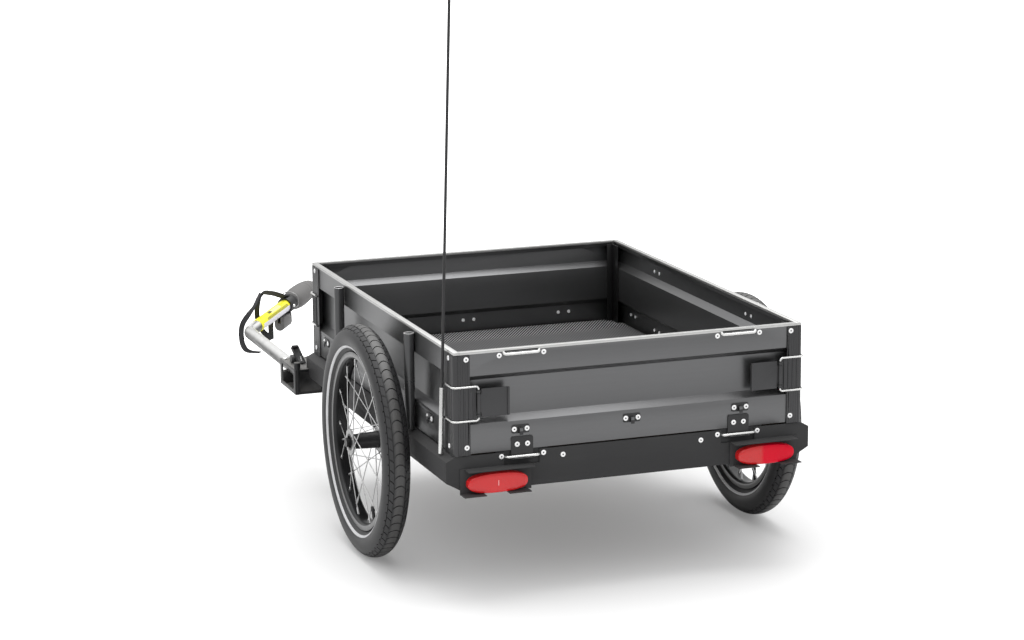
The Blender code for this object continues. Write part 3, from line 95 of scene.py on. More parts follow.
class Pick(Enum):
    """What is chosen in edit mode."""

    CORNERS = "VERT"
    EDGES = "EDGE"
    FACES = "FACE"


# Shading


class Value:
    """A number or vector in a material, which takes part in sums as a plain number does."""

    def __init__(self, graph: "Graph", socket: bpy.types.NodeSocket) -> None:
        """Wraps a socket of a graph, the output that holds the value."""
        self.graph = graph
        self.socket = socket

    def sum(self, operation: str, *others: Term) -> "Value":
        """A Math node on this value and on what follows it."""
        return self.graph.node("ShaderNodeMath", {"operation": operation}, dict(enumerate((self, *others))))

    def turned(self, operation: str, other: Term) -> "Value":
        """A Math node with the other term first."""
        return self.graph.node("ShaderNodeMath", {"operation": operation}, {0: other, 1: self})

    def __add__(self, other: Term) -> "Value":
        """Adds a term."""
        return self.sum("ADD", other)

    def __radd__(self, other: Term) -> "Value":
        """Adds to a term."""
        return self.turned("ADD", other)

    def __sub__(self, other: Term) -> "Value":
        """Takes a term away."""
        return self.sum("SUBTRACT", other)

    def __rsub__(self, other: Term) -> "Value":
        """Is taken from a term."""
        return self.turned("SUBTRACT", other)

    def __mul__(self, other: Term) -> "Value":
        """Multiplies by a term."""
        return self.sum("MULTIPLY", other)

    def __rmul__(self, other: Term) -> "Value":
        """Multiplies a term."""
        return self.turned("MULTIPLY", other)

    def __pow__(self, other: Term) -> "Value":
        """Raises to a power."""
        return self.sum("POWER", other)

    def __gt__(self, other: Term) -> "Value":
        """Is 1 where this is the greater."""
        return self.sum("GREATER_THAN", other)

    def __lt__(self, other: Term) -> "Value":
        """Is 1 where this is the lesser."""
        return self.sum("LESS_THAN", other)

    def __abs__(self) -> "Value":
        """The size without its sign."""
        return self.sum("ABSOLUTE")

    def wave(self) -> "Value":
        """The sine."""
        return self.sum("SINE")

    def least(self, other: Term) -> "Value":
        """The smaller of two."""
        return self.sum("MINIMUM", other)

    def most(self, other: Term) -> "Value":
        """The greater of two."""
        return self.sum("MAXIMUM", other)

    def ramp(self, low: float, high: float) -> "Value":
        """From 0 at low to 1 at high, smoothly. Low may be the greater."""
        inputs = {"Value": self, "From Min": low, "From Max": high}
        return self.graph.node("ShaderNodeMapRange", {"interpolation_type": "SMOOTHSTEP"}, inputs)

    def within(self, low: float, high: float, soft: float) -> "Value":
        """Is 1 between two numbers, with soft edges inside them."""
        return self.ramp(low, low + soft) * self.ramp(high, high - soft)


class Graph:
    """The nodes of one material, or of the world."""

    def __init__(self, owner: bpy.types.ID, shader: str = "Principled BSDF") -> None:
        """Takes up the nodes of a material or world.

        Args:
            owner: the material or world.
            shader: the name of its first shader.
        """
        owner.use_nodes = True
        self.tree = owner.node_tree
        self.shader = self.tree.nodes[shader]

    def node(
        self, kind: str, settings: dict | None = None, inputs: dict | None = None, output: int | str = 0
    ) -> Value:
        """Adds any node.

        Args:
            kind: the node's type.
            settings: its own settings, which are set first.
            inputs: values or links, by the socket's name or number.
            output: the output that is wanted.

        Returns:
            The output as a value.
        """
        made = self.tree.nodes.new(kind)
        for key, setting in (settings or {}).items():
            setattr(made, key, setting)
        for key, term in (inputs or {}).items():
            self.plug(made.inputs[key], term)
        return Value(self, made.outputs[output])

    def plug(self, socket: bpy.types.NodeSocket, term: Term) -> None:
        """Links a value to a socket, or sets the socket.

        Args:
            socket: the input.
            term: what goes into it.
        """
        if isinstance(term, Value):
            self.tree.links.new(term.socket, socket)
        else:
            socket.default_value = term

    def set(self, **sockets: Term) -> None:
        """Feeds the shader's sockets, named with _ for a space."""
        for name, term in sockets.items():
            self.plug(self.shader.inputs[name.replace("_", " ")], term)

    def place(self) -> Value:
        """The point on the piece, in metres, from its own origin."""
        return self.node("ShaderNodeTexCoord", output="Object")

    def facing(self) -> Value:
        """The way the surface faces, on the piece itself."""
        return self.node("ShaderNodeTexCoord", output="Normal")

    def from_axle(self) -> Value:
        """How far the surface is from the line of the wheels' axle.

        Returns:
            The distance in metres.
        """
        _, y, z = self.parts(self.place())
        across, up = y - AXLE[1], z - AXLE[2]
        return (across * across + up * up) ** 0.5

    def parts(self, vector: Value) -> tuple[Value, Value, Value]:
        """The x, y and z of a vector.

        Args:
            vector: the vector.

        Returns:
            Its three parts.
        """
        apart = self.node("ShaderNodeSeparateXYZ", inputs={0: vector})
        outputs = apart.socket.node.outputs
        return Value(self, outputs[0]), Value(self, outputs[1]), Value(self, outputs[2])

    def vector(self, operation: str, a: Term, b: Term, output: int | str = 0) -> Value:
        """A Vector Math node on two vectors, read at one of its outputs."""
        return self.node("ShaderNodeVectorMath", {"operation": operation}, {0: a, 1: b}, output)

    def noise(self, scale: float, detail: float = 2.0, stretch: Point = (1, 1, 1)) -> Value:
        """Soft noise from 0 to 1: patches to the metre, finer layers, and each axis's stretch."""
        point = self.vector("MULTIPLY", self.place(), tuple(stretch))
        return self.node("ShaderNodeTexNoise", inputs={"Vector": point, "Scale": scale, "Detail": detail})

    def mix(self, factor: Term, a: Term, b: Term) -> Value:
        """The colour at a factor between two, 0 for the first."""
        inputs = {0: factor, 6: solid(a), 7: solid(b)}
        return self.node("ShaderNodeMix", {"data_type": "RGBA"}, inputs, 2)

    def relief(self, height: Value, strength: float, distance: float, under: Value | None = None) -> Value:
        """A bump.

        Args:
            height: the height, from 0 to 1.
            strength: how strongly it shows.
            distance: the height's real size in metres.
            under: a bump that this one is added to.

        Returns:
            The bent normal.
        """
        inputs = {"Height": height, "Strength": strength, "Distance": distance}
        if under is not None:
            inputs["Normal"] = under
        return self.node("ShaderNodeBump", inputs=inputs)


def solid(colour: Term) -> Term:
    """A colour with its alpha, or a link as it is."""
    return colour if isinstance(colour, Value) else (*colour, 1.0)


@dataclass(frozen=True)
class Finish:
    """A surface: the record's slot that it comes from, its colour, and how it shines."""

    name: str
    slot: str
    colour: Triple
    roughness: float = 0.5
    metallic: float = 0.0

    def paint(self, graph: Graph) -> None:
        """Lays the pattern out on a graph. Each kind of finish has its own."""
        raise NotImplementedError

    def material(self) -> bpy.types.Material:
        """Makes the material once.

        Returns:
            The material.
        """
        found = bpy.data.materials.get(self.name)
        if found is not None:
            return found
        made = bpy.data.materials.new(self.name)
        self.paint(Graph(made))
        return made

    def shade(self, factor: float) -> Triple:
        """The colour, darker or lighter."""
        return tuple(min(1.0, part * factor) for part in self.colour)


@dataclass(frozen=True)
class PowderCoat(Finish):
    """Baked powder paint: a fine orange-peel skin, faint clouds, and a pale mix on what faces up that is
    settled dust and, where it is strong, painted top light.
    """

    peel: float = 0.00006
    dust: float = 0.06
    gloss: float = 0.5

    def tint(self, graph: Graph, colour: Value) -> Value:
        """The colour with what a kind of coat adds to it, here nothing."""
        return colour

    def paint(self, graph: Graph) -> None:
        """Clouds in the colour, an orange-peel bump, and a pale mix on what faces up: dust, and painted top
        light where it is strong.

        Args:
            graph: the material's graph.
        """
        clouds = graph.noise(9, 4)
        fine = graph.noise(420, 2)
        _, _, up = graph.parts(graph.facing())
        tone = graph.mix(clouds, self.shade(0.90), self.shade(1.10))
        # Pale mix on what faces up: dust, and painted top light where the share is large.
        dust_and_top_light_tone = graph.mix(up.most(0) * clouds * self.dust, tone, DUST_AND_TOP_LIGHT)
        graph.set(Base_Color=self.tint(graph, dust_and_top_light_tone), Metallic=self.metallic)
        graph.set(Specular_IOR_Level=self.gloss)
        graph.set(Roughness=self.roughness + (clouds - 0.5) * 0.10 + (fine - 0.5) * 0.06)
        graph.set(Normal=graph.relief(fine, 0.5, self.peel))


@dataclass(frozen=True)
class StakeTube(PowderCoat):
    """A stake's coat with a pale metal-coloured ring on its upper edge, a painted highlight on the rim."""

    edge: float = 0.1514
    bare: Triple = (0.62, 0.62, 0.62)

    def tint(self, graph: Graph, colour: Value) -> Value:
        """The colour with the pale ring on the upper edge, a painted highlight."""
        # Pale ring on the up-facing top edge: painted highlight.
        _, _, height = graph.parts(graph.place())
        return graph.mix(height.ramp(self.edge, self.edge + 0.0002), colour, self.bare)


@dataclass(frozen=True)
class CornerProfile(PowderCoat):
    """A corner profile's coat, with painted shade on the parts inside the box."""

    # Where the box's inside begins, and the painted shade's colour and share.
    inner: Pair = (0.3128, 0.4178)
    dark: Triple = (0.010, 0.010, 0.010)
    share: float = 0.85

    def tint(self, graph: Graph, colour: Value) -> Value:
        """Paints shade on the inside of the box.

        Args:
            graph: the material's graph.
            colour: the colour so far.

        Returns:
            The colour.
        """
        x, y, _ = graph.parts(graph.place())
        # Painted shade: the inside of the box is darkened.
        inside = (abs(x) < self.inner[0]) * (abs(y) < self.inner[1])
        return graph.mix(inside * self.share, colour, self.dark)


@dataclass(frozen=True)
class PanelSheet(PowderCoat):
    """A pressed panel: satin paint below the lip, which is bare metal."""

    lip_bottom: float = 0.1555
    bare: Triple = (0.60, 0.60, 0.59)

    def paint(self, graph: Graph) -> None:
        """Paint with faint drawn lines, and a bare lip with fine scratches.

        Args:
            graph: the material's graph.
        """
        point = graph.place()
        _, _, height = graph.parts(point)
        clouds = graph.noise(7, 4)
        fine = graph.noise(420, 2)
        drawn = graph.noise(60, 3, (0.15, 0.15, 5.0))
        ragged = (fine - 0.5) * 0.0005
        lip = (height + ragged).ramp(self.lip_bottom, self.lip_bottom + 0.0004)
        _, _, up = graph.parts(graph.facing())
        tone = graph.mix(clouds * 0.6 + drawn * 0.4, self.shade(0.92), self.shade(1.08))
        # Pale mix on what faces up: dust, and painted top light where the share is large.
        tone = graph.mix(up.most(0) * clouds * self.dust, tone, DUST_AND_TOP_LIGHT)
        scratches = graph.noise(90, 5, (1.0, 0.3, 1.0))
        metal = graph.mix(scratches, tuple(part * 0.86 for part in self.bare), self.bare)
        graph.set(Base_Color=graph.mix(lip, tone, metal))
        graph.set(Metallic=self.metallic + lip * (0.9 - self.metallic))
        skin = self.roughness + (clouds - 0.5) * 0.08 + (fine - 0.5) * 0.05
        graph.set(Roughness=skin + lip * (0.30 - self.roughness) + lip * scratches * 0.12)
        graph.set(Normal=graph.relief(fine, 0.5, self.peel))


@dataclass(frozen=True)
class BrightMetal(Finish):
    """Plated or bare metal: fine scratches, a little tarnish, and, where asked, painted shade on what faces
    down.
    """

    grain: Triple = (1, 1, 1)
    tarnish: float = 0.25
    grime: float = 0.0

    def paint(self, graph: Graph) -> None:
        """Scratches along the grain, soft tarnish, and painted shade on what faces down.

        Args:
            graph: the material's graph.
        """
        lines = graph.noise(260, 4, self.grain)
        spots = graph.noise(45, 3)
        tone = graph.mix(spots.ramp(0.35, 0.8) * self.tarnish, self.colour, self.shade(0.55))
        # Painted shade: the colour darkens where the surface faces down.
        _, _, up = graph.parts(graph.facing())
        under = up.ramp(0.80, 0.14) * (0.76 + lines * 0.5) * self.grime
        tone = graph.mix(under.least(1), tone, self.shade(0.06))
        graph.set(Base_Color=tone, Metallic=self.metallic)
        graph.set(Roughness=self.roughness + (lines - 0.5) * 0.18 + (spots - 0.5) * 0.08)
        graph.set(Normal=graph.relief(lines, 0.25, 0.00004))


@dataclass(frozen=True)
class Moulded(Finish):
    """Moulded plastic or rubber: a fine grain and slight changes of tone."""

    grain: float = 900.0
    depth: float = 0.00005

    def paint(self, graph: Graph) -> None:
        """Grain and clouds.

        Args:
            graph: the material's graph.
        """
        clouds = graph.noise(30, 3)
        fine = graph.noise(self.grain, 2)
        graph.set(Base_Color=graph.mix(clouds, self.shade(0.82), self.shade(1.18)), Metallic=self.metallic)
        graph.set(Roughness=self.roughness + (clouds - 0.5) * 0.15 + (fine - 0.5) * 0.10)
        graph.set(Normal=graph.relief(fine, 0.6, self.depth))


@dataclass(frozen=True)
class TyreRubber(Moulded):
    """Tyre rubber: fine moulded rings on the side wall and road dust on the tread."""

    ring_rate: float = 4200.0
    ring_zone: Pair = (0.186, 0.180)
    road_zone: Pair = (0.2044, 0.2062)
    road_dust: Triple = (0.105, 0.103, 0.100)

    def paint(self, graph: Graph) -> None:
        """Rings about the axle, dust in the tread, and a dull bloom.

        Args:
            graph: the material's graph.
        """
        radius = graph.from_axle()
        rings = ((radius * self.ring_rate).wave() + 1) * 0.5 * radius.ramp(*self.ring_zone)
        fine = graph.noise(700, 3)
        bloom = graph.noise(14, 4)
        # Road dust on the crown of the tread.
        wear_and_sheen = radius.ramp(*self.road_zone)
        tone = graph.mix(bloom, self.shade(0.8), self.shade(1.3))
        tone = graph.mix(wear_and_sheen * (0.3 + bloom * 0.4), tone, self.road_dust)
        graph.set(Base_Color=tone)
        graph.set(Roughness=self.roughness + (bloom - 0.5) * 0.16 + (fine - 0.5) * 0.08)
        skin = graph.relief(fine, 0.5, 0.00008)
        graph.set(Normal=graph.relief(rings, 0.5, 0.0002, skin))


@dataclass(frozen=True)
class RimBlack(Moulded):
    """Black anodised rim with a machined braking band on each side."""

    band: Triple = (0.30, 0.30, 0.30)
    band_side: Pair = (0.0140, 0.0143)
    band_foot: Pair = (0.1488, 0.1492)
    line_rate: float = 9000.0

    def paint(self, graph: Graph) -> None:
        """Black, with fine turned lines where the side is machined.

        Args:
            graph: the material's graph.
        """
        x, _, _ = graph.parts(graph.place())
        radius = graph.from_axle()
        band = abs(abs(x) - AXLE[0]).ramp(*self.band_side) * radius.ramp(*self.band_foot)
        lines = ((radius * self.line_rate).wave() + 1) * 0.5
        clouds = graph.noise(40, 3)
        black = graph.mix(clouds, self.shade(0.8), self.shade(1.3))
        metal = graph.mix(lines * 0.5 + clouds * 0.5, tuple(part * 0.75 for part in self.band), self.band)
        graph.set(Base_Color=graph.mix(band, black, metal), Metallic=0.4 + band * 0.5)
        graph.set(Roughness=self.roughness + band * 0.08 + (clouds - 0.5) * 0.10)
        graph.set(Normal=graph.relief(lines * band, 0.3, 0.00003))


@dataclass(frozen=True)
class AntiSlipBoard(Moulded):
    """Film-faced board with a wire-mesh pattern pressed into the film."""

    pitch: float = 0.0052
    slant: Pair = (0.545, 0.839)
    raised: Triple = (0.50, 0.50, 0.50)
    # The painted sheen's grey, and where it sets in towards the near end.
    plain: Triple = (0.082, 0.082, 0.083)
    plain_from: Pair = (0.355, 0.315)
    dark_ply: Triple = (0.030, 0.022, 0.016)
    pale_ply: Triple = (0.075, 0.055, 0.038)
    ply_rate: float = 2200.0

    def paint(self, graph: Graph) -> None:
        """Raised strokes in slanting rows, lighter on top, a painted sheen of plain grey over them towards the
        near end, and plywood plies on the edges.

        Args:
            graph: the material's graph.
        """
        x, y, z = graph.parts(graph.place())
        turn = 2 * math.pi / self.pitch
        a, b = self.slant
        rows = ((x * -b + y * a) * turn).wave()
        breaks = ((x * a + y * b) * turn).wave()
        top = z.ramp(-0.0006, -0.0002)
        mesh = (rows + breaks * 0.20).ramp(0.48, 0.90) * top
        # Painted sheen: towards the near end the pattern gives way to plain grey.
        wear_and_sheen = y.ramp(*self.plain_from)
        clouds = graph.noise(5, 4)
        fine = graph.noise(800, 2)
        plies = ((z * self.ply_rate).wave() + 1) * 0.5
        film = graph.mix(mesh * (0.75 + clouds * 0.25), self.colour, self.raised)
        film = graph.mix(wear_and_sheen * 0.88, film, self.plain)
        edge = graph.mix(plies * 0.7 + fine * 0.3, self.dark_ply, self.pale_ply)
        graph.set(Base_Color=graph.mix(top, edge, film))
        graph.set(Roughness=self.roughness - wear_and_sheen * 0.15 + (clouds - 0.5) * 0.12, Specular_IOR_Level=0.02)
        graph.set(Normal=graph.relief(mesh, 0.3, 0.0002, graph.relief(fine, 0.4, 0.00005)))


@dataclass(frozen=True)
class ReflectorLens(Finish):
    """Red lens with rows of small prisms behind a smooth face, a slight painted glow, and the two lenses as
    lit and shaded copies, the right one a deeper red.
    """

    pitch: float = 0.0030
    # The right lens's deeper red and where it begins: lit and shaded copies of one lens.
    deep_from: Pair = (0.232, 0.241)
    deep_red: Triple = (0.58, 0.0, 0.016)
    tick: Pair = (-0.2445, -0.0630)
    tick_half: Pair = (0.0004, 0.0045)
    tick_pink: Triple = (0.9, 0.6, 0.6)
    # Painted glow: the lens is no lamp.
    glow: float = 0.12
    coat: float = 0.8

    def paint(self, graph: Graph) -> None:
        """Prisms in six-sided rows, in the colour and in the bump, a deeper red on the right lens as its
        painted shade, a pale tick and a painted glow.

        Args:
            graph: the material's graph.
        """
        x, _, z = graph.parts(graph.place())
        turn = 2 * math.pi / self.pitch
        rows = [(x * turn), (x * 0.5 + z * 0.866) * turn, (x * 0.5 - z * 0.866) * turn]
        prisms = (rows[0].wave() + rows[1].wave() + rows[2].wave()).ramp(-1.5, 2.6)
        clouds = graph.noise(18, 3)
        tone = graph.mix(prisms * 0.55 + clouds * 0.25, self.shade(0.62), self.shade(1.0))
        # Lit and shaded copies: the right lens is painted a deeper red than the left.
        shaded_lens = x.ramp(*self.deep_from)
        tick = (abs(x - self.tick[0]) < self.tick_half[0]) * (abs(z - self.tick[1]) < self.tick_half[1])
        tone = graph.mix(tick, graph.mix(shaded_lens, tone, self.deep_red), self.tick_pink)
        # The lens glows a little though it is no lamp: painted light.
        graph.set(Base_Color=tone, Emission_Color=tone, Emission_Strength=self.glow)
        graph.set(Coat_Weight=self.coat - shaded_lens * self.coat, Coat_Roughness=0.05)
        graph.set(Roughness=self.roughness + (clouds - 0.5) * 0.05, Specular_IOR_Level=0.2)
        graph.set(Normal=graph.relief(prisms, 0.35, 0.0003))


@dataclass(frozen=True)
class Webbing(Finish):
    """Woven strap: a weave laid along its own path."""

    rib_rate: float = 4200.0
    row_rate: float = 3600.0

    def paint(self, graph: Graph) -> None:
        """A weave on the strap's own map.

        Args:
            graph: the material's graph.
        """
        along, across, _ = graph.parts(graph.node("ShaderNodeUVMap", output="UV"))
        weave = ((along * self.rib_rate).wave() * (across * self.row_rate).wave()).ramp(-0.7, 0.8)
        clouds = graph.noise(60, 3)
        graph.set(Base_Color=graph.mix(weave * 0.7 + clouds * 0.3, self.shade(0.5), self.shade(1.5)))
        graph.set(Roughness=self.roughness + (clouds - 0.5) * 0.1)
        graph.set(Normal=graph.relief(weave, 0.8, 0.0003))


@dataclass(frozen=True)
class YellowSleeve(Finish):
    """A yellow film sleeve with a pale panel, a ruled dark strip and a small dark mark, without lettering."""

    origin: Triple = (0, 0, 0)
    along: Triple = (0, 1, 0)
    across: Triple = (1, 0, 0)
    up: Triple = (0, 0, 1)
    pale: Triple = (0.70, 0.69, 0.74)
    ink: Triple = (0.03, 0.03, 0.025)
    low_start: Pair = (0.048, 0.050)
    low_top: Pair = (0.0040, 0.0034)
    patch: Pair = (0.100, 0.150)
    patch_bottom: Pair = (0.0098, 0.0104)
    mark: Pair = (0.092, 0.108)
    mark_bottom: float = 0.0116
    strip: Pair = (0.072, 0.178)
    strip_bottom: Pair = (0.0036, 0.0040)
    strip_top: Pair = (0.0094, 0.0088)
    ruling: float = 1500.0

    def paint(self, graph: Graph) -> None:
        """Fields by the place along and round the tube.

        Args:
            graph: the material's graph.
        """
        point = graph.vector("SUBTRACT", graph.place(), self.origin)
        s = graph.vector("DOT_PRODUCT", point, self.along, "Value")
        u = graph.vector("DOT_PRODUCT", point, self.up, "Value")
        near = graph.vector("DOT_PRODUCT", point, self.across, "Value") > 0
        clouds = graph.noise(50, 3)
        tone = graph.mix(clouds, self.shade(0.88), self.shade(1.06))
        low = u.ramp(*self.low_top) * s.ramp(*self.low_start) * near
        patch = s.within(*self.patch, 0.002) * u.ramp(*self.patch_bottom) * near
        tone = graph.mix(low.most(patch * 0.45), tone, self.pale)
        mark = s.within(*self.mark, 0.001) * (u > self.mark_bottom) * near
        strip = s.within(*self.strip, 0.001) * u.ramp(*self.strip_bottom) * u.ramp(*self.strip_top) * near
        ticks = (s * self.ruling).wave().ramp(-0.2, 0.3)
        dark = mark.most(strip * (0.35 + ticks * 0.6))
        graph.set(Base_Color=graph.mix(dark * 0.9, tone, self.ink))
        graph.set(Roughness=self.roughness + (clouds - 0.5) * 0.1)
        graph.set(Normal=graph.relief(clouds, 0.2, 0.0003))


# Modelling


class Work:
    """A mesh on the bench, shaped with Blender's own tools."""

    def __init__(self, name: str, obj: bpy.types.Object | None = None) -> None:
        """Takes up the object that was just made.

        Args:
            name: the piece's name.
            obj: the object, or the active one.
        """
        self.obj = obj or bpy.context.view_layer.objects.active
        self.obj.name = name
        self.obj.data.name = name

    @staticmethod
    def clear() -> None:
        """Lets go of everything."""
        if bpy.context.mode != "OBJECT":
            bpy.ops.object.mode_set(mode="OBJECT")
        bpy.ops.object.select_all(action="DESELECT")

    def focus(self) -> None:
        """Selects this piece alone."""
        self.clear()
        bpy.context.view_layer.objects.active = self.obj
        self.obj.select_set(True)

    @contextmanager
    def editing(self) -> Iterator[None]:
        """Holds the piece in edit mode."""
        self.focus()
        bpy.ops.object.mode_set(mode="EDIT")
        bpy.ops.mesh.select_mode(type="VERT")
        yield
        bpy.ops.object.mode_set(mode="OBJECT")

    def choose(self, kind: Pick, test: Callable[..., bool]) -> None:
        """Selects what passes a test, in edit mode.

        Args:
            kind: corners, edges or faces.
            test: takes a corner, edge or face.
        """
        bpy.ops.mesh.select_all(action="DESELECT")
        bpy.ops.mesh.select_mode(type=kind.value)
        mesh = bmesh.from_edit_mesh(self.obj.data)
        for item in {Pick.CORNERS: mesh.verts, Pick.EDGES: mesh.edges, Pick.FACES: mesh.faces}[kind]:
            if test(item):
                item.select_set(True)
        mesh.select_flush_mode()
        bmesh.update_edit_mesh(self.obj.data)

    def choose_all(self) -> None:
        """Selects the whole mesh, in edit mode."""
        bpy.ops.mesh.select_all(action="SELECT")

    def weld(self, gap: float = HAIR) -> None:
        """Merges corners that nearly touch, in edit mode, and selects the whole mesh.

        Args:
            gap: corners closer than this are merged.
        """
        self.choose_all()
        bpy.ops.mesh.remove_doubles(threshold=gap)
        self.choose_all()

    def push(self, way: Point) -> None:
        """Extrudes what is selected, in edit mode, and moves it."""
        bpy.ops.mesh.extrude_region_move(TRANSFORM_OT_translate={"value": way})

    def ease(self, width: float, segments: int) -> None:
        """Bevels the selected edges, in edit mode."""
        bpy.ops.mesh.bevel(offset=width, segments=segments, affect="EDGES")

    def settle(self) -> "Work":
        """Puts the place, turn and size into the mesh.

        Returns:
            The piece.
        """
        self.focus()
        bpy.ops.object.transform_apply(location=True, rotation=True, scale=True)
        return self

    def moved(self, matrix: Matrix) -> "Work":
        """The piece after a transform, which may mirror it.

        Args:
            matrix: the transform.

        Returns:
            The piece.
        """
        self.obj.matrix_world = matrix
        self.settle()
        if matrix.determinant() < 0:
            self.outward()
        return self

    def outward(self) -> "Work":
        """Turns all faces out.

        Returns:
            The piece.
        """
        with self.editing():
            self.choose_all()
            bpy.ops.mesh.normals_make_consistent(inside=False)
        return self

    @classmethod
    def block(cls, name: str, low: Point, high: Point) -> "Work":
        """A block between two corners, to be shaped.

        Args:
            name: the piece's name.
            low: the lowest corner.
            high: the highest corner.

        Returns:
            The piece.
        """
        cls.clear()
        low, high = Vector(low), Vector(high)
        bpy.ops.mesh.primitive_cube_add(size=1, location=(low + high) / 2, scale=high - low)
        return cls(name).settle()

    @classmethod
    def drawn(cls, name: str, *lines: Sequence[Vector]) -> "Work":
        """Lines of edges, each drawn out from one corner.

        Args:
            name: the piece's name.
            lines: the points of each line.

        Returns:
            The piece.
        """
        cls.clear()
        bpy.ops.mesh.primitive_plane_add(size=0.001)
        made = cls(name)
        with made.editing():
            made.choose_all()
            bpy.ops.mesh.delete(type="VERT")
            for line in lines:
                bpy.ops.mesh.primitive_plane_add(size=0.001, location=line[0])
                bpy.ops.mesh.merge(type="CENTER")
                for before, after in zip(line, line[1:]):
                    bpy.ops.mesh.extrude_vertices_move(TRANSFORM_OT_translate={"value": after - before})
        return made

    @classmethod
    def folded(cls, name: str, outline: Sequence[Vector], way: Point, thickness: float) -> "Work":
        """Folded sheet: an outline drawn, extruded and given its thickness.

        Args:
            name: the piece's name.
            outline: the middle of the sheet, seen from its edge.
            way: how far and where the outline is extruded.
            thickness: the sheet's thickness.

        Returns:
            The piece.
        """
        made = cls.drawn(name, outline)
        with made.editing():
            made.choose_all()
            made.push(way)
        made.finer("SOLIDIFY", thickness=thickness, offset=0)
        return made.outward()

    @classmethod
    def turned(
        cls, name: str, profile: Sequence[Point], steps: int, place: Matrix, ring: bool = False
    ) -> "Work":
        """A turned piece: one corner is drawn out along the profile, then spun about the axis.

        Args:
            name: the piece's name.
            profile: distances along the axis and radii, and a third number for a shift round the axis.
            steps: how many steps make a turn.
            place: turns the lathe's Z to the piece's axis and moves it there.
            ring: the profile closes on itself.

        Returns:
            The piece.
        """
        points = []
        for along, radius, *shift in profile:
            angle = shift[0] / radius if shift else 0.0
            points.append(Vector((radius * math.cos(angle), radius * math.sin(angle), along)))
        if ring:
            points.append(points[0])
        made = cls.drawn(name, points)
        with made.editing():
            made.weld(HAIR / 4)
            bpy.ops.mesh.spin(steps=steps, angle=2 * math.pi, center=(0, 0, 0), axis=(0, 0, 1))
            made.weld()
            bpy.ops.mesh.normals_make_consistent(inside=False)
        return made.moved(place)

    @classmethod
    def wire(cls, name: str, route: Sequence[Vector], radius: float, sides: int = 5) -> "Work":
        """Round wire along a route.

        Args:
            name: the piece's name.
            route: the points it goes through.
            radius: the wire's radius.
            sides: how finely it is rounded.

        Returns:
            The piece.
        """
        cls.clear()
        curve = bpy.data.curves.new(name, "CURVE")
        curve.dimensions = "3D"
        curve.bevel_depth = radius
        curve.bevel_resolution = sides
        curve.use_fill_caps = True
        spline = curve.splines.new("POLY")
        spline.points.add(len(route) - 1)
        for point, place in zip(spline.points, route):
            point.co = (*place, 1)
        obj = bpy.data.objects.new(name, curve)
        bpy.context.scene.collection.objects.link(obj)
        bpy.context.view_layer.objects.active = obj
        obj.select_set(True)
        bpy.ops.object.convert(target="MESH")
        made = cls(name)
        with made.editing():
            made.weld()
            bpy.ops.mesh.normals_make_consistent(inside=False)
        return made

    @classmethod
    def carried(cls, node: str, bevel: float = 0.0006, limit: float = 40.0) -> "Work":
        """A copy of a CAD node with its flat faces whole again and its edges eased.

        Args:
            node: the node's name.
            bevel: how wide the eased edge is.
            limit: the least angle in degrees that is eased.

        Returns:
            The piece.
        """
        cls.clear()
        copy = bpy.data.objects.new(f"{node}_dressed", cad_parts[node].data.copy())
        bpy.context.scene.collection.objects.link(copy)
        made = cls(f"{node}_dressed", copy)
        made.obj.data.materials.clear()
        with made.editing():
            made.weld(0.000005)
            bpy.ops.mesh.dissolve_limited(angle_limit=math.radians(0.4))
        made.finer("BEVEL", width=bevel, segments=2, limit_method="ANGLE", angle_limit=math.radians(limit))
        return made

    def finer(self, kind: str, **settings: object) -> "Work":
        """Adds a modifier and applies it.

        Args:
            kind: the modifier's type.
            settings: its settings.

        Returns:
            The piece.
        """
        self.focus()
        modifier = self.obj.modifiers.new(kind.lower(), kind)
        for key, setting in settings.items():
            setattr(modifier, key, setting)
        bpy.ops.object.modifier_apply(modifier=modifier.name)
        return self

    def copy(self, name: str, matrix: Matrix | None = None) -> "Work":
        """A copy with its own mesh.

        Args:
            name: the copy's name.
            matrix: a transform for it.

        Returns:
            The copy.
        """
        self.focus()
        bpy.ops.object.duplicate(linked=False)
        made = Work(name)
        if matrix is not None:
            made.moved(matrix)
        return made

    def scattered(self, name: str, places: Sequence[Matrix]) -> "Work":
        """This piece copied to many places and joined, each copy with its own mesh. The first one goes.

        Args:
            name: the joined piece's name.
            places: where each copy stands.

        Returns:
            The joined piece.
        """
        copies = []
        for place in places:
            obj = bpy.data.objects.new(name, self.obj.data.copy())
            bpy.context.scene.collection.objects.link(obj)
            obj.matrix_world = place
            copies.append(Work(name, obj).settle())
        whole = copies[0].joined(*copies[1:])
        whole.obj.name = name
        self.discard()
        return whole

    def joined(self, *others: "Work") -> "Work":
        """Joins other pieces to this one.

        Args:
            others: the pieces, which go into this one.

        Returns:
            The piece.
        """
        self.focus()
        for other in others:
            other.obj.select_set(True)
        bpy.ops.object.join()
        return self

    def discard(self) -> None:
        """Takes the piece off the bench."""
        bpy.data.objects.remove(self.obj)

    def ready(self, finish: Finish, body: str, *nodes: str, smooth: float = 32.0) -> bpy.types.Object:
        """Finishes the piece and sets it on its body.

        Args:
            finish: its surface.
            body: the body it moves with.
            nodes: the CAD nodes it stands for.
            smooth: edges under this many degrees look round.

        Returns:
            The finished object.
        """
        self.settle()
        bpy.ops.object.shade_smooth_by_angle(angle=math.radians(smooth))
        self.obj.data.materials.clear()
        self.obj.data.materials.append(finish.material())
        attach(self.obj, body)
        if nodes:
            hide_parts(*nodes)
        self.clear()
        LOG.info("%s rides %s", self.obj.name, body)
        return self.obj


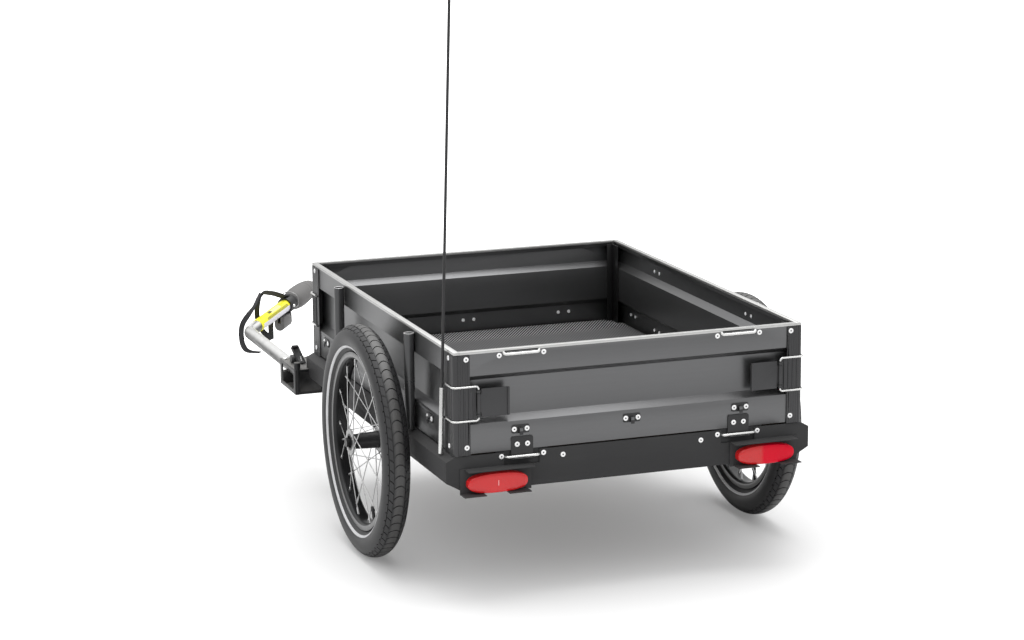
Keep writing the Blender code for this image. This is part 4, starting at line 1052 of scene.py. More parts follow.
def aimed(origin: Point, way: Point) -> Matrix:
    """The matrix that turns Z to a direction and moves to a point."""
    turn = Vector((0, 0, 1)).rotation_difference(Vector(way))
    return Matrix.Translation(origin) @ turn.to_matrix().to_4x4()


def rounded(corners: Sequence[Point], radius: float, steps: int = 6) -> list[Vector]:
    """A route through corners, each inner one rounded.

    Args:
        corners: the corners.
        radius: the bend radius.
        steps: points in each bend.

    Returns:
        The route.
    """
    corners = [Vector(c) for c in corners]
    route = [corners[0]]
    for before, corner, after in zip(corners, corners[1:], corners[2:]):
        way_in, way_out = (corner - before).normalized(), (after - corner).normalized()
        turn = way_in.angle(way_out)
        start = corner - way_in * radius * math.tan(turn / 2)
        inward = (way_out - way_in * way_in.dot(way_out)).normalized()
        centre = start + inward * radius
        for i in range(steps + 1):
            angle = turn * i / steps
            route.append(centre - inward * radius * math.cos(angle) + way_in * radius * math.sin(angle))
    return route + [corners[-1]]


def smooth_route(points: Sequence[Point], count: int) -> list[Vector]:
    """Points read from one smooth curve through the given ones.

    Args:
        points: what the curve goes through.
        count: how many spans it is read in.

    Returns:
        The route.
    """
    knots = [Vector(p) for p in points]
    knots = [knots[0] * 2 - knots[1]] + knots + [knots[-1] * 2 - knots[-2]]
    spans = len(knots) - 3
    route = []
    for i in range(count + 1):
        place = spans * i / count
        span = min(int(place), spans - 1)
        t = place - span
        a, b, c, d = knots[span : span + 4]
        bend, twist = 2 * a - 5 * b + 4 * c - d, 3 * b - a - 3 * c + d
        route.append(0.5 * (2 * b + (c - a) * t + bend * t**2 + twist * t**3))
    return route


# Finishes

ELBOW = Vector((-0.3360, 0.8368, -0.0608))
LEG_WAY = Vector((0.1346, 0.1667, 0.0203)).normalized()
LEG_ACROSS = LEG_WAY.cross(Vector((0, 0, 1))).normalized()
LEG_UP = LEG_ACROSS.cross(LEG_WAY)

PANEL_GREY = PanelSheet("satin grey panel", "panel_grey", (0.150, 0.151, 0.154), 0.33, 0.88)
RAIL_BLACK = PowderCoat("black powder coat", "base_black", (0.038, 0.038, 0.039), 0.50, gloss=0.12)
# The bracket's large share of the pale mix lightens its top: painted top light more than dust.
BRACKET_BLACK = PowderCoat("bracket black", "base_black", (0.014, 0.014, 0.015), 0.38, dust=0.60, gloss=0.30)
PROFILE_GREY = CornerProfile("anodised profile", "corner_profile", (0.060, 0.060, 0.062), 0.36, 0.65, 0.00003)
STAKE_GREY = StakeTube("stake grey", "stake_grey", (0.085, 0.086, 0.088), 0.30, 0.60, 0.00003)
STEEL = BrightMetal("bright zinc", "bright_steel", (0.78, 0.78, 0.77), 0.24, 0.9)
FLANGE = BrightMetal("hub flanges", "bright_steel", (0.34, 0.34, 0.34), 0.34, 0.9)
SPOKE = BrightMetal("spokes", "bright_steel", (0.62, 0.62, 0.62), 0.30, 0.9)
RIVET = BrightMetal("rivet heads", "bright_steel", (0.95, 0.95, 0.95), 0.38, 0.20, tarnish=0.1)
REFLEX = BrightMetal("reflex band", "tyre_rubber", (0.62, 0.62, 0.63), 0.42, 0.2)
# The tube carries a strong painted shade on its underside.
TUBE = BrightMetal("aluminium", "tube_aluminium", (0.80, 0.80, 0.79), 0.34, 0.85, (1, 0.12, 1), grime=0.9)
# Near black, put where there is only shade, in rivet hollows and handle slots: painted shade.
HOLLOW_SHADE = Moulded("rivet cores", "corner_profile", (0.010, 0.010, 0.010), 0.50)
BLACK_PLASTIC = Moulded("black plastic", "plastic_black", (0.016, 0.016, 0.017), 0.40)
BLACK_PARTS = Moulded("black fittings", "corner_profile", (0.022, 0.022, 0.023), 0.38, 0.2)
BOOT_GREY = Moulded("boot rubber", "coupling_rubber", (0.120, 0.117, 0.115), 0.60, grain=500.0, depth=0.0001)
TONGUE_GREY = Moulded("tongue grey", "coupling_rubber", (0.11, 0.107, 0.105), 0.45)
RUBBER = TyreRubber("tyre rubber", "tyre_rubber", (0.020, 0.020, 0.021), 0.44)
RIM = RimBlack("black rim", "rim_black", (0.016, 0.016, 0.017), 0.30)
BOARD = AntiSlipBoard("anti-slip board", "floor_board", (0.012, 0.012, 0.013), 0.55)
LENS = ReflectorLens("red lens", "reflector_red", (0.72, 0.015, 0.018), 0.16)
STRAP_BLACK = Webbing("black webbing", "strap_webbing", (0.018, 0.018, 0.020), 0.85)
SLEEVE = YellowSleeve(
    "yellow sleeve",
    "tube_aluminium",
    (0.90, 0.84, 0.03),
    0.38,
    origin=tuple(ELBOW),
    along=tuple(LEG_WAY),
    across=tuple(LEG_ACROSS),
    up=tuple(LEG_UP),
)


# Sub-assemblies


@dataclass
class Rivets:
    """Hollow rivets with a turned-over rim and a dark disc of painted shade in the hollow, set by place and
    direction.
    """

    radius: float = 0.0045
    height: float = 0.0014
    sunk: float = 0.0003
    steps: int = 12
    core_steps: int = 8
    solid_size: float = 0.8
    places: dict[str, list[Matrix]] = field(default_factory=dict)

    def at(self, body: str, point: Point, way: Point, size: float = 1.0) -> None:
        """Notes a rivet on a body: the middle of its seat, the way its head faces, and its size."""
        self.places.setdefault(body, []).append(aimed(point, way) @ Matrix.Scale(size, 4))

    def build(self) -> None:
        """Turns one rivet and copies it to every place, one piece to a body, with a dark disc of painted shade
        in each open rivet's hollow.
        """
        r, h = self.radius, self.height
        profile = ((-self.sunk, 0.0), (-self.sunk, r * 0.96), (h * 0.45, r), (h * 0.9, r * 0.80))
        profile += ((h, r * 0.55), (h * 0.85, r * 0.36), (h * 0.30, r * 0.28), (h * 0.30, 0.0))
        core = ((h * 0.30, 0), (h * 0.32, r * 0.27), (h * 0.70, r * 0.24), (h * 0.74, 0))
        for body, places in self.places.items():
            one = Work.turned("rivet", profile, self.steps, Matrix())
            one.scattered(f"{body}_rivets", places).ready(RIVET, body, smooth=50)
            open_ones = [place for place in places if place.to_scale().x > self.solid_size]
            # A dark disc in each open rivet's hollow: painted shade.
            middle = Work.turned("core", core, self.core_steps, Matrix())
            middle.scattered(f"{body}_rivet_cores", open_ones).ready(HOLLOW_SHADE, body, smooth=50)


@dataclass
class Wheel:
    """A spoked 16 inch wheel: tyre with moulded tread, black rim, crossed spokes and hub."""

    centre: Triple = AXLE
    section: float = 0.0245
    crown: float = 0.2065
    wall: float = 0.0032
    skin: float = 0.0015
    tread_angles: tuple[float, ...] = (0, 6, 12, 18, 23, 26, 32, 38, 44, 47, 53, 59)
    wall_angles: tuple[float, ...] = (65, 72, 80, 88, 96, 104, 112, 120, 128, 136, 143.7)
    hollow_angles: tuple[float, ...] = (130, 90, 45, 0)
    ring_grooves: tuple[Pair, ...] = ((23, 26), (44, 47))
    tread_edge: float = 53
    lead_end: float = 87
    grooves: int = 68
    groove_steps: int = 8
    groove_depth: float = 0.0020
    arc_lead: float = 0.0066
    band_angles: Pair = (120, 132)
    band_ease: float = 1.5
    band_lift: float = 0.0004
    band_sunk: float = 0.0008
    band_steps: int = 160
    rim_lip: float = 0.1585
    rim_half: float = 0.0145
    rim_inside: float = 0.1455
    rim_steps: int = 144
    bead_depth: float = 0.0039
    bead_inset: float = 0.0029
    flange: float = 0.0240
    flange_bore: float = 0.0149
    flange_half: float = 0.0015
    flange_ease: float = 0.0006
    scallop: float = 0.945
    spread: float = 0.0525
    hub_ends: Pair = (-0.0277, 0.0283)
    spokes: int = 14
    crossings: int = 3
    spoke_radius: float = 0.0009
    spoke_lean: float = 0.0012
    hole_inset: float = 0.0026
    rim_stagger: float = 0.0034
    valve_angle: float = 200

    def place(self) -> Matrix:
        """Turns the lathe's Z to the left and moves it to the left wheel's middle."""
        turn = Matrix(((0, 0, -1, 0), (0, 1, 0, 0), (1, 0, 0, 0), (0, 0, 0, 1)))
        return Matrix.Translation((-self.centre[0], self.centre[1], self.centre[2])) @ turn

    def on_section(self, angle: float, reach: float, shift: bool = False) -> tuple[float, ...]:
        """A point of the tyre's section.

        Args:
            angle: degrees from the crown, positive outwards.
            reach: how far it is from the section's middle.
            shift: whether the tread's lead is added.

        Returns:
            Its distance along the axle, its radius, and its shift round the axle.
        """
        a = math.radians(angle)
        point = (reach * math.sin(a), self.crown - self.section + reach * math.cos(a))
        return (*point, self.shift(angle)) if shift else point

    def shift(self, angle: float) -> float:
        """How far the tread's arcs lead.

        Args:
            angle: degrees from the crown.

        Returns:
            The lead, in metres round the tyre.
        """
        size = abs(angle)
        middle, edge = self.ring_grooves[0][0], self.ring_grooves[1][1]
        if size <= middle:
            return self.arc_lead * (1 - (size / middle) ** 2)
        if size <= edge:
            return self.arc_lead * math.sin(math.pi * (size - middle) / (2 * (edge - middle)))
        return self.arc_lead * max(0.0, 1 - (size - edge) / (self.lead_end - edge))

    def tyre(self) -> Work:
        """Spins the tyre and sinks its tread grooves.

        Returns:
            The piece.
        """
        half = self.tread_angles + self.wall_angles
        outside = [self.on_section(-a, self.section, True) for a in reversed(half[1:])]
        outside += [self.on_section(a, self.section, True) for a in half]
        seat, bead = self.rim_lip - self.bead_depth, self.rim_half - self.bead_inset
        inside = [(bead, self.rim_lip + 0.0003), (bead, seat), (bead - 0.0032, seat)]
        hollow = [self.on_section(angle, self.section - self.wall) for angle in self.hollow_angles]
        left = [(-a, r) for a, r in reversed(hollow[:-1])] + [(-a, r) for a, r in reversed(inside)]
        steps = self.grooves * self.groove_steps
        made = Work.turned("left_tyre_dressed", outside + inside + hollow + left, steps, Matrix(), ring=True)
        with made.editing():
            made.choose(Pick.FACES, self.is_groove)
            down = {"value": -self.groove_depth}
            bpy.ops.mesh.extrude_region_shrink_fatten(TRANSFORM_OT_shrink_fatten=down)
        return made.moved(self.place())

    def is_groove(self, face: bmesh.types.BMFace) -> bool:
        """Whether a face of the tyre is the floor of a groove.

        Args:
            face: the face.

        Returns:
            True for a ring groove or an arc groove.
        """
        middle = face.calc_center_median()
        radius = math.hypot(middle.x, middle.y)
        low = self.crown - self.section
        angle = math.degrees(math.atan2(middle.z, radius - low))
        size = abs(angle)
        if math.hypot(radius - low, middle.z) < self.section - self.skin or size > self.tread_edge:
            return False
        if any(start < size < end for start, end in self.ring_grooves):
            return True
        step = 2 * math.pi / (self.grooves * self.groove_steps)
        lead = self.shift(angle) / radius
        index = round((math.atan2(middle.y, middle.x) - lead) / step - 0.5)
        outer = self.ring_grooves[0][0] <= size <= self.ring_grooves[1][1]
        return (index + (self.groove_steps // 2 if outer else 0)) % self.groove_steps == 0

    def band(self) -> Work:
        """Turns the narrow reflex band of each side wall.

        Returns:
            Both bands as one piece.
        """
        (low, high), ease, lift = self.band_angles, self.band_ease, self.band_lift
        corners = ((low, 0.0), (low + ease, lift), (high - ease, lift), (high, 0.0))
        corners += ((high, -self.band_sunk), (low, -self.band_sunk))
        profile = [self.on_section(angle, self.section + out) for angle, out in corners]
        outer = Work.turned("left_reflex_band", profile, self.band_steps, Matrix(), ring=True)
        mirror = [(-a, r) for a, r in profile]
        inner = Work.turned("left_reflex_band_inner", mirror, self.band_steps, Matrix(), ring=True)
        return outer.joined(inner).moved(self.place())

    def rim(self) -> Work:
        """Turns the rim, with hooked lips, a machined side and a crowned inner wall.

        Returns:
            The piece.
        """
        h, lip, low = self.rim_half, self.rim_lip, self.rim_inside
        right = [(0.0, low + 0.0006), (0.0060, low), (h - 0.0050, low + 0.0002), (h - 0.0022, low + 0.0016)]
        right += [(h - 0.0003, low + 0.0042), (h, low + 0.0054), (h, lip - 0.0008), (h - 0.0006, lip)]
        right += [(h - 0.0018, lip), (h - 0.0023, lip - 0.0006), (h - 0.0023, lip - 0.0042)]
        right += [(h - 0.0046, lip - 0.0064), (0.0, lip - 0.0066)]
        profile = right + [(-a, r) for a, r in reversed(right[1:-1])]
        return Work.turned("left_rim_dressed", profile, self.rim_steps, self.place(), ring=True)

    def hub(self) -> Work:
        """Turns the hub's black barrel with its end caps.

        Returns:
            The piece.
        """
        start, end = self.hub_ends
        half = self.spread / 2
        profile = ((start, 0.0118), (start, 0.0150), (-half + 0.0015, 0.0156), (-half + 0.0050, 0.0148))
        profile += ((0.0, 0.0142), (half - 0.0090, 0.0132), (half - 0.0040, 0.0136), (half - 0.0015, 0.0150))
        profile += ((end - 0.0002, 0.0150), (end - 0.0002, 0.0118))
        return Work.turned("left_hub_dressed", profile, 48, self.place(), ring=True)

    def flanges(self) -> Work:
        """Turns the two bright flanges, with a scalloped edge between the spoke holes.

        Returns:
            Both flanges as one piece.
        """
        half, thick, r, ease = self.spread / 2, self.flange_half, self.flange, self.flange_ease
        made = []
        for middle in (-half, half):
            low, high = middle - thick, middle + thick
            profile = ((low, self.flange_bore), (low, r - ease), (low + ease, r), (high - ease, r))
            profile += ((high, r - ease), (high, self.flange_bore))
            flange = Work.turned("left_hub_flanges", profile, self.spokes * 4, Matrix(), ring=True)
            with flange.editing():
                flange.choose(Pick.CORNERS, lambda v: self.between(v.co))
                size = (self.scallop, self.scallop, 1)
                bpy.ops.transform.resize(value=size, center_override=(0, 0, middle))
            made.append(flange)
        return made[0].joined(made[1]).moved(self.place())

    def between(self, corner: Vector) -> bool:
        """Whether a flange's corner lies on its edge, midway between two spoke holes."""
        turn = math.atan2(corner.y, corner.x) / (2 * math.pi / self.spokes)
        return math.hypot(corner.x, corner.y) > self.flange - 0.001 and abs(turn - round(turn)) > 0.4

    def spoke_lines(self) -> list[tuple[Vector, Vector]]:
        """Lays the spokes out.

        Returns:
            The two ends of every spoke, in the wheel's own frame.
        """
        lines = []
        step = 2 * math.pi / self.spokes
        hole, seat = self.flange - self.hole_inset, self.rim_inside + 0.0003
        for flange in (-1, 1):
            first = 0 if flange < 0 else step / 2
            for i in range(self.spokes):
                way = 1 if i % 2 else -1
                a, b = first + step * i, first + step * i + way * self.crossings * step
                lean = way * self.spoke_lean
                across, rim_across = flange * self.spread / 2 + lean, flange * self.rim_stagger + lean
                start = Vector((hole * math.cos(a), hole * math.sin(a), across))
                end = Vector((seat * math.cos(b), seat * math.sin(b), rim_across))
                lines.append((start, end))
        return lines

    def spoke_set(self) -> tuple[Work, Work]:
        """Turns one spoke and one nipple and copies them to every place.

        Returns:
            All spokes with their heads, and all nipples.
        """
        lines = self.spoke_lines()
        length = (lines[0][1] - lines[0][0]).length
        r = self.spoke_radius
        profile = ((-0.0012, 0), (-0.0012, r * 1.2), (0, r * 1.25), (0.003, r), (length, r), (length, 0))
        spoke = Work.turned("spoke", profile, 8, Matrix())
        sleeve = ((-0.0125, 0), (-0.0125, 0.0012), (-0.0120, 0.0016), (-0.0010, 0.0017), (0, 0.0024))
        sleeve += ((0.0008, 0.0024), (0.0008, 0))
        nipple = Work.turned("nipple", [(length + along, radius) for along, radius in sleeve], 8, Matrix())
        places = [self.place() @ aimed(start, end - start) for start, end in lines]
        return spoke.scattered("left_spokes", places), nipple.scattered("left_nipples", places)

    def valve(self) -> Work:
        """Turns the tyre's valve, with its cap.

        Returns:
            The piece.
        """
        profile = ((-0.0300, 0), (-0.0300, 0.0030), (-0.0292, 0.0036), (-0.0215, 0.0038), (-0.0210, 0.0030))
        profile += ((-0.0080, 0.0030), (-0.0040, 0.0042), (0, 0.0044), (0, 0))
        seat = Matrix.Rotation(math.radians(self.valve_angle), 4, "Z")
        seat = seat @ Matrix.Translation((self.rim_inside + 0.0010, 0, 0))
        seat = seat @ Matrix.Rotation(math.pi / 2, 4, "Y")
        return Work.turned("left_valve", profile, 16, self.place() @ seat)

    def build(self) -> None:
        """Makes the left wheel and mirrors each piece for the right one."""
        spokes, nipples = self.spoke_set()
        pieces = (
            (self.tyre(), RUBBER, "tyre", 38.0),
            (self.band(), REFLEX, None, 50.0),
            (self.rim(), RIM, "rim", 40.0),
            (self.hub(), BLACK_PLASTIC, "hub", 40.0),
            (self.flanges(), FLANGE, None, 30.0),
            (spokes, SPOKE, None, 60.0),
            (nipples, SPOKE, None, 60.0),
            (self.valve(), BLACK_PLASTIC, None, 40.0),
        )
        for work, finish, node, smooth in pieces:
            other = work.copy(work.obj.name.replace("left", "right"), Matrix.Diagonal((-1, 1, 1, 1)))
            for side, made in ((Side.LEFT, work), (Side.RIGHT, other)):
                nodes = (f"{side.word}_{node}",) if node else ()
                made.ready(finish, f"{side.word}_wheel", *nodes, smooth=smooth)


@dataclass
class Box:
    """The four pressed panels with their lashing hooks, handle wires, corner profiles, latches and hinges."""

    half_width: float = 0.3150
    half_length: float = 0.4200
    inside: float = 0.0021
    cap: Pair = (0.3165, 0.4215)
    cap_rivet_inset: Pair = (0.0220, 0.0250)
    cap_rivet_heights: Pair = (0.1476, -0.0020)
    hook_z: float = 0.0220
    hook_half: Pair = (0.0153, 0.0073)
    hook_depths: Pair = (-0.0018, 0.0004)
    hook_corner: float = 0.0022
    hook_rivets: float = 0.0112
    tongue_curl: tuple[Triple, ...] = (
        (0, -0.0022, -0.0001),
        (0, -0.0014, -0.0018),
        (0, -0.0001, -0.0030),
        (0, 0.0004, -0.0032),
    )
    end_hooks: tuple[float, ...] = (-0.2, 0.0, 0.2)
    side_hooks: tuple[float, ...] = (-0.2935, 0.0200, 0.3280)
    tail_size: float = 0.75
    loop_centre: float = 0.1968
    loop_span: float = 0.0625
    loop_z: float = 0.1508
    loop_rise: float = 0.0040
    loop_rivet_gap: float = 0.0080
    loop_rivet_z: float = 0.1495
    slot_heights: Pair = (0.1520, 0.1562)
    wire_radius: float = 0.0026
    wire_bend: float = 0.0040
    latch_z: float = 0.0725
    bail_spread: float = 0.0580
    bail_radius: float = 0.0018
    bail_bends: Pair = (0.0088, 0.0046)
    bar: Pair = (0.2740, 0.4238)
    bar_end: float = 0.0052
    bar_radii: Pair = (0.0017, 0.0025)
    bail_x: float = 0.3188
    bail_tip: float = 0.3863
    wrap_bend: float = 0.0066
    wrap_proud: float = 0.0004
    wrap_inset: float = 0.0022
    rib_pitch: float = 0.0072
    rib_height: float = 0.0013
    hinge_x: float = 0.1972
    hinge_y: float = 0.4242
    hinge_z: float = -0.0245
    hinge_half: float = 0.0288
    curl: float = 0.0042
    leaf_half: float = 0.0195
    leaf_top: float = 0.0090
    plate_half: float = 0.0462
    plate_heights: Pair = (-0.0430, -0.0125)
    plate_back: float = 0.0040
    plate_rivets: Pair = (-0.0383, 0.0363)
    plate_rivet_z: float = -0.0232
    leaf_rivets: Pair = (-0.0092, 0.0092)
    leaf_rivet_z: float = -0.0040

    def panels(self) -> None:
        """The pressed sheets and their corner profiles, with eased edges."""
        sheets = [(f"{end.word}_panel", end.panel_body, [s.word for s in Side]) for end in End]
        sheets += [(f"{side.word}_panel", "base", [end.word for end in End]) for side in Side]
        for sheet, body, caps in sheets:
            Work.carried(sheet, 0.0009, 30).ready(PANEL_GREY, body, sheet)
            for word in caps:
                cap = f"{sheet}_{word}_cap"
                Work.carried(cap, 0.0003, 30).ready(PROFILE_GREY, body, cap)

    def hook(self) -> Work:
        """Makes a lashing hook, facing -Y on the plane y = 0: a plate with a tongue that curls down.

        Returns:
            The piece.
        """
        (x, z), (front, back) = self.hook_half, self.hook_depths
        plate = Work.block("hook", (-x, front, -z), (x, back, z))
        with plate.editing():
            plate.choose(Pick.EDGES, lambda e: abs(e.verts[0].co.y - e.verts[1].co.y) > 0.001)
            plate.ease(self.hook_corner, 3)
        tongue = Work.block("tongue", (-0.0032, -0.0030, -0.0014), (0.0032, -0.0012, 0.0012))
        with tongue.editing():
            for step in self.tongue_curl:
                tongue.choose(Pick.FACES, lambda f: f.normal.y < -0.5 and f.calc_center_median().y < -0.0029)
                tongue.push(step)
        tongue.finer("BEVEL", width=0.0005, segments=2, limit_method="ANGLE", angle_limit=math.radians(40))
        return plate.joined(tongue)

    def hooks(self, rivets: Rivets) -> None:
        """Copies the hook to its twelve places, with its rivets and their tails inside.

        Args:
            rivets: takes the rivets.
        """
        one = self.hook()
        places: dict[str, list[Matrix]] = {}
        for end in End:
            turn = Matrix() if end is End.REAR else Matrix.Rotation(math.pi, 4, "Z")
            for x in self.end_hooks:
                seat = Matrix.Translation((x, end.value * self.half_length, self.hook_z))
                places.setdefault(end.panel_body, []).append(seat @ turn)
        for side in Side:
            turn = Matrix.Rotation(side.value * math.pi / 2, 4, "Z")
            for y in self.side_hooks:
                seat = Matrix.Translation((side.value * self.half_width, y, self.hook_z))
                places.setdefault("base", []).append(seat @ turn)
        for body, seats in places.items():
            for seat in seats:
                way = seat.to_3x3() @ Vector((0, -1, 0))
                for x in (-self.hook_rivets, self.hook_rivets):
                    rivets.at(body, seat @ Vector((x, -0.0017, 0)), way)
                    rivets.at(body, seat @ Vector((x, self.inside, 0)), -way, self.tail_size)
            copies = one.copy("hook_copy").scattered(f"{body}_lashing_hooks", seats)
            copies.ready(BLACK_PARTS, body, smooth=40)
        one.discard()

    def loops(self, rivets: Rivets) -> None:
        """The handle wires under the end panels' lips, each in its slot, which is a dark block of painted
        shade.

        Args:
            rivets: takes the rivets.
        """
        for end in End:
            face = self.half_length * end.value
            root, out = face - end.value * 0.0010, face + end.value * 0.0016
            for side in Side:
                name = f"{end.word}_{side.word}_handle"
                middle = side.value * self.loop_centre
                low, high = middle - self.loop_span / 2, middle + self.loop_span / 2
                top, z = self.loop_z + self.loop_rise, self.loop_z
                corners = ((low, root, top), (low, out, z), (high, out, z), (high, root, top))
                route = rounded(corners, self.wire_bend)
                wire = Work.wire(f"{name}_wire", route, self.wire_radius, 4)
                wire.ready(STEEL, end.panel_body, smooth=60)
                near, far = sorted((face - end.value * 0.0004, face + end.value * 0.0003))
                under, over = self.slot_heights
                # The slot is a thin dark block on the panel's face: painted shade.
                slot = Work.block(f"{name}_slot", (low, near, under), (high, far, over))
                slot.finer("BEVEL", width=0.0002, segments=1)
                slot.ready(HOLLOW_SHADE, end.panel_body, smooth=30)
                for x in (low - self.loop_rivet_gap, high + self.loop_rivet_gap):
                    rivets.at(end.panel_body, (x, face, self.loop_rivet_z), (0, end.value, 0))

    def cap_rivets(self, rivets: Rivets) -> None:
        """The rivets at the top and foot of every corner profile.

        Args:
            rivets: takes the rivets.
        """
        for end in End:
            for side in Side:
                x = side.value * (self.cap[0] - self.cap_rivet_inset[0])
                y = end.value * (self.cap[1] - self.cap_rivet_inset[1])
                for z in self.cap_rivet_heights:
                    place = (x, end.value * self.cap[1], z)
                    rivets.at(end.panel_body, place, (0, end.value, 0))
                    rivets.at("base", (side.value * self.cap[0], y, z), (side.value, 0, 0))

    def latches(self) -> None:
        """The latch levers, the wire bails that hook round the corners, and the ribbed sheets under them."""
        for end in End:
            for side in Side:
                name = f"{end.word}_{side.word}_latch"
                mirror = Matrix.Diagonal((side.value, end.value, 1, 1))
                lever = f"{name}_lever"
                Work.carried(lever, 0.0007, 35).ready(PROFILE_GREY, lever, lever)
                route = [mirror @ point for point in self.bail_route()]
                wire = Work.wire(f"{name}_bail_dressed", route, self.bail_radius, 4)
                wire.ready(STEEL, f"{name}_bail", f"{name}_bail", smooth=60)
                low, high = self.latch_z - self.bail_spread / 2, self.latch_z + self.bail_spread / 2
                bore, outside = self.bar_radii
                start, stop = low + self.bar_end, high - self.bar_end
                tube = ((start, bore), (start, outside), (stop, outside), (stop, bore))
                place = mirror @ Matrix.Translation((*self.bar, 0))
                cover = Work.turned(f"{name}_bar_cover", tube, 20, place, ring=True)
                cover.ready(BLACK_PARTS, f"{name}_bail", smooth=50)
                wrap = self.wrap(f"{name}_wrap", low + self.wrap_inset, high - self.wrap_inset, mirror)
                wrap.ready(PROFILE_GREY, end.panel_body, smooth=50)

    def bail_route(self) -> list[Vector]:
        """Lays out a bail's wire at the front right corner: two fingers joined by the upright bar.

        Returns:
            The route.
        """
        bar_x, bar_y = self.bar
        corner_bend, bar_bend = self.bail_bends
        half = []
        for way in (-1, 1):
            z = self.latch_z + way * self.bail_spread / 2
            finger = [(self.bail_x, self.bail_tip, z), (self.bail_x, bar_y, z), (bar_x, bar_y, z)]
            turned = rounded(finger, corner_bend, 9)
            bent = rounded([turned[-2], (bar_x, bar_y, z), (bar_x, bar_y, z - way * 0.0050)], bar_bend, 7)
            half.append(turned[:-1] + bent[1:])
        return half[0] + half[1][::-1]

    def wrap(self, name: str, low: float, high: float, mirror: Matrix) -> Work:
        """The ribbed sheet between the bail's wires, bent round the corner.

        Args:
            name: the piece's name.
            low: its lower edge.
            high: its upper edge.
            mirror: takes it from the front right corner to its own.

        Returns:
            The piece.
        """
        bend = self.wrap_bend
        face_x, face_y = self.cap[0] + self.wrap_proud, self.cap[1] + self.wrap_proud
        centre = (face_x - bend, face_y - bend)
        outline = [(self.bar[0] + 0.0042, face_y), (centre[0], face_y)]
        for i in range(1, 7):
            angle = math.radians(90 - 15 * i)
            outline.append((centre[0] + bend * math.cos(angle), centre[1] + bend * math.sin(angle)))
        outline.append((face_x, self.bail_tip + 0.0030))
        points = [Vector((x, y, low)) for x, y in self.ribbed(outline)]
        return Work.folded(name, points, (0, 0, high - low), 0.0007).moved(mirror)

    def ribbed(self, outline: Sequence[Point]) -> list[Point]:
        """The outline with upright ribs along its two straight runs.

        Args:
            outline: the plain outline.

        Returns:
            The outline with ribs.
        """
        result = [outline[0]]
        for (ax, ay), (bx, by) in zip(outline, outline[1:]):
            count = int(math.hypot(bx - ax, by - ay) / self.rib_pitch)
            out = (0.0, self.rib_height) if abs(by - ay) < abs(bx - ax) else (self.rib_height, 0.0)
            for i in range(count):
                for part, lift in ((0.30, 0), (0.42, 1), (0.58, 1), (0.70, 0)):
                    t = (i + part) / count
                    result.append((ax + (bx - ax) * t + out[0] * lift, ay + (by - ay) * t + out[1] * lift))
            result.append((bx, by))
        return result

    def leaf(self, name: str, mirror: Matrix) -> Work:
        """A hinge leaf: a plate on the panel whose foot goes behind the wire and curls up under it.

        Args:
            name: its name.
            mirror: takes it from the front right hinge to its own.

        Returns:
            The piece.
        """
        y, z = self.hinge_y, self.hinge_z
        face = self.half_length + 0.0008
        outline = [(face, self.leaf_top), (face, z + 0.0085), (y - self.curl, z + 0.0045)]
        for angle in range(180, 325, 18):
            a = math.radians(angle)
            outline.append((y + self.curl * math.cos(a), z + self.curl * math.sin(a)))
        points = [Vector((self.hinge_x - self.leaf_half, *point)) for point in outline]
        made = Work.folded(f"{name}_dressed", points, (2 * self.leaf_half, 0, 0), 0.0013)

        def is_corner(edge: bmesh.types.BMEdge) -> bool:
            """Whether an edge is an upper corner of the leaf."""
            a, b = (v.co for v in edge.verts)
            return min(a.z, b.z) > self.leaf_top - 0.0001 and abs(a.x - b.x) < 0.001

        with made.editing():
            made.choose(Pick.EDGES, is_corner)
            made.ease(0.0035, 4)
        return made.moved(mirror)

    def hinges(self, rivets: Rivets) -> None:
        """The wire staples in the rail with their plates, and the curled leaves on the panels.

        Args:
            rivets: takes the rivets.
        """
        for end in End:
            out = (0, end.value, 0)
            back, y, z = self.half_length - self.plate_back, end.value * self.hinge_y, self.hinge_z
            near, far = sorted((end.value * back, end.value * (back + 0.0012)))
            for side in Side:
                name = f"{end.word}_{side.word}_hinge"
                leaf = self.leaf(f"{name}_leaf", Matrix.Diagonal((side.value, end.value, 1, 1)))
                leaf.ready(BLACK_PARTS, end.panel_body, f"{name}_leaf", smooth=40)
                x = side.value * self.hinge_x
                low, high = x - self.hinge_half, x + self.hinge_half
                root = end.value * back
                corners = ((low, root, z), (low, y, z), (high, y, z), (high, root, z))
                route = rounded(corners, self.wire_bend)
                wire = Work.wire(f"{name}_wire_dressed", route, self.wire_radius, 4)
                wire.ready(STEEL, "base", f"{name}_wire", smooth=60)
                bottom, top = self.plate_heights
                foot, head = (x - self.plate_half, near, bottom), (x + self.plate_half, far, top)
                plate = Work.block(f"{name}_plate", foot, head)
                plate.finer("BEVEL", width=0.0004, segments=1)
                plate.ready(RAIL_BLACK, "base", smooth=40)
                for gap in self.plate_rivets:
                    place = (x + side.value * gap, end.value * self.half_length, self.plate_rivet_z)
                    rivets.at("base", place, out)
                for gap in self.leaf_rivets:
                    place = (x + gap, end.value * (self.half_length + 0.0019), self.leaf_rivet_z)
                    rivets.at(end.panel_body, place, out)

    def build(self, rivets: Rivets) -> None:
        """Makes all of the box.

        Args:
            rivets: takes the rivets.
        """
        self.panels()
        self.hooks(rivets)
        self.loops(rivets)
        self.cap_rivets(rivets)
        self.latches()
        self.hinges(rivets)


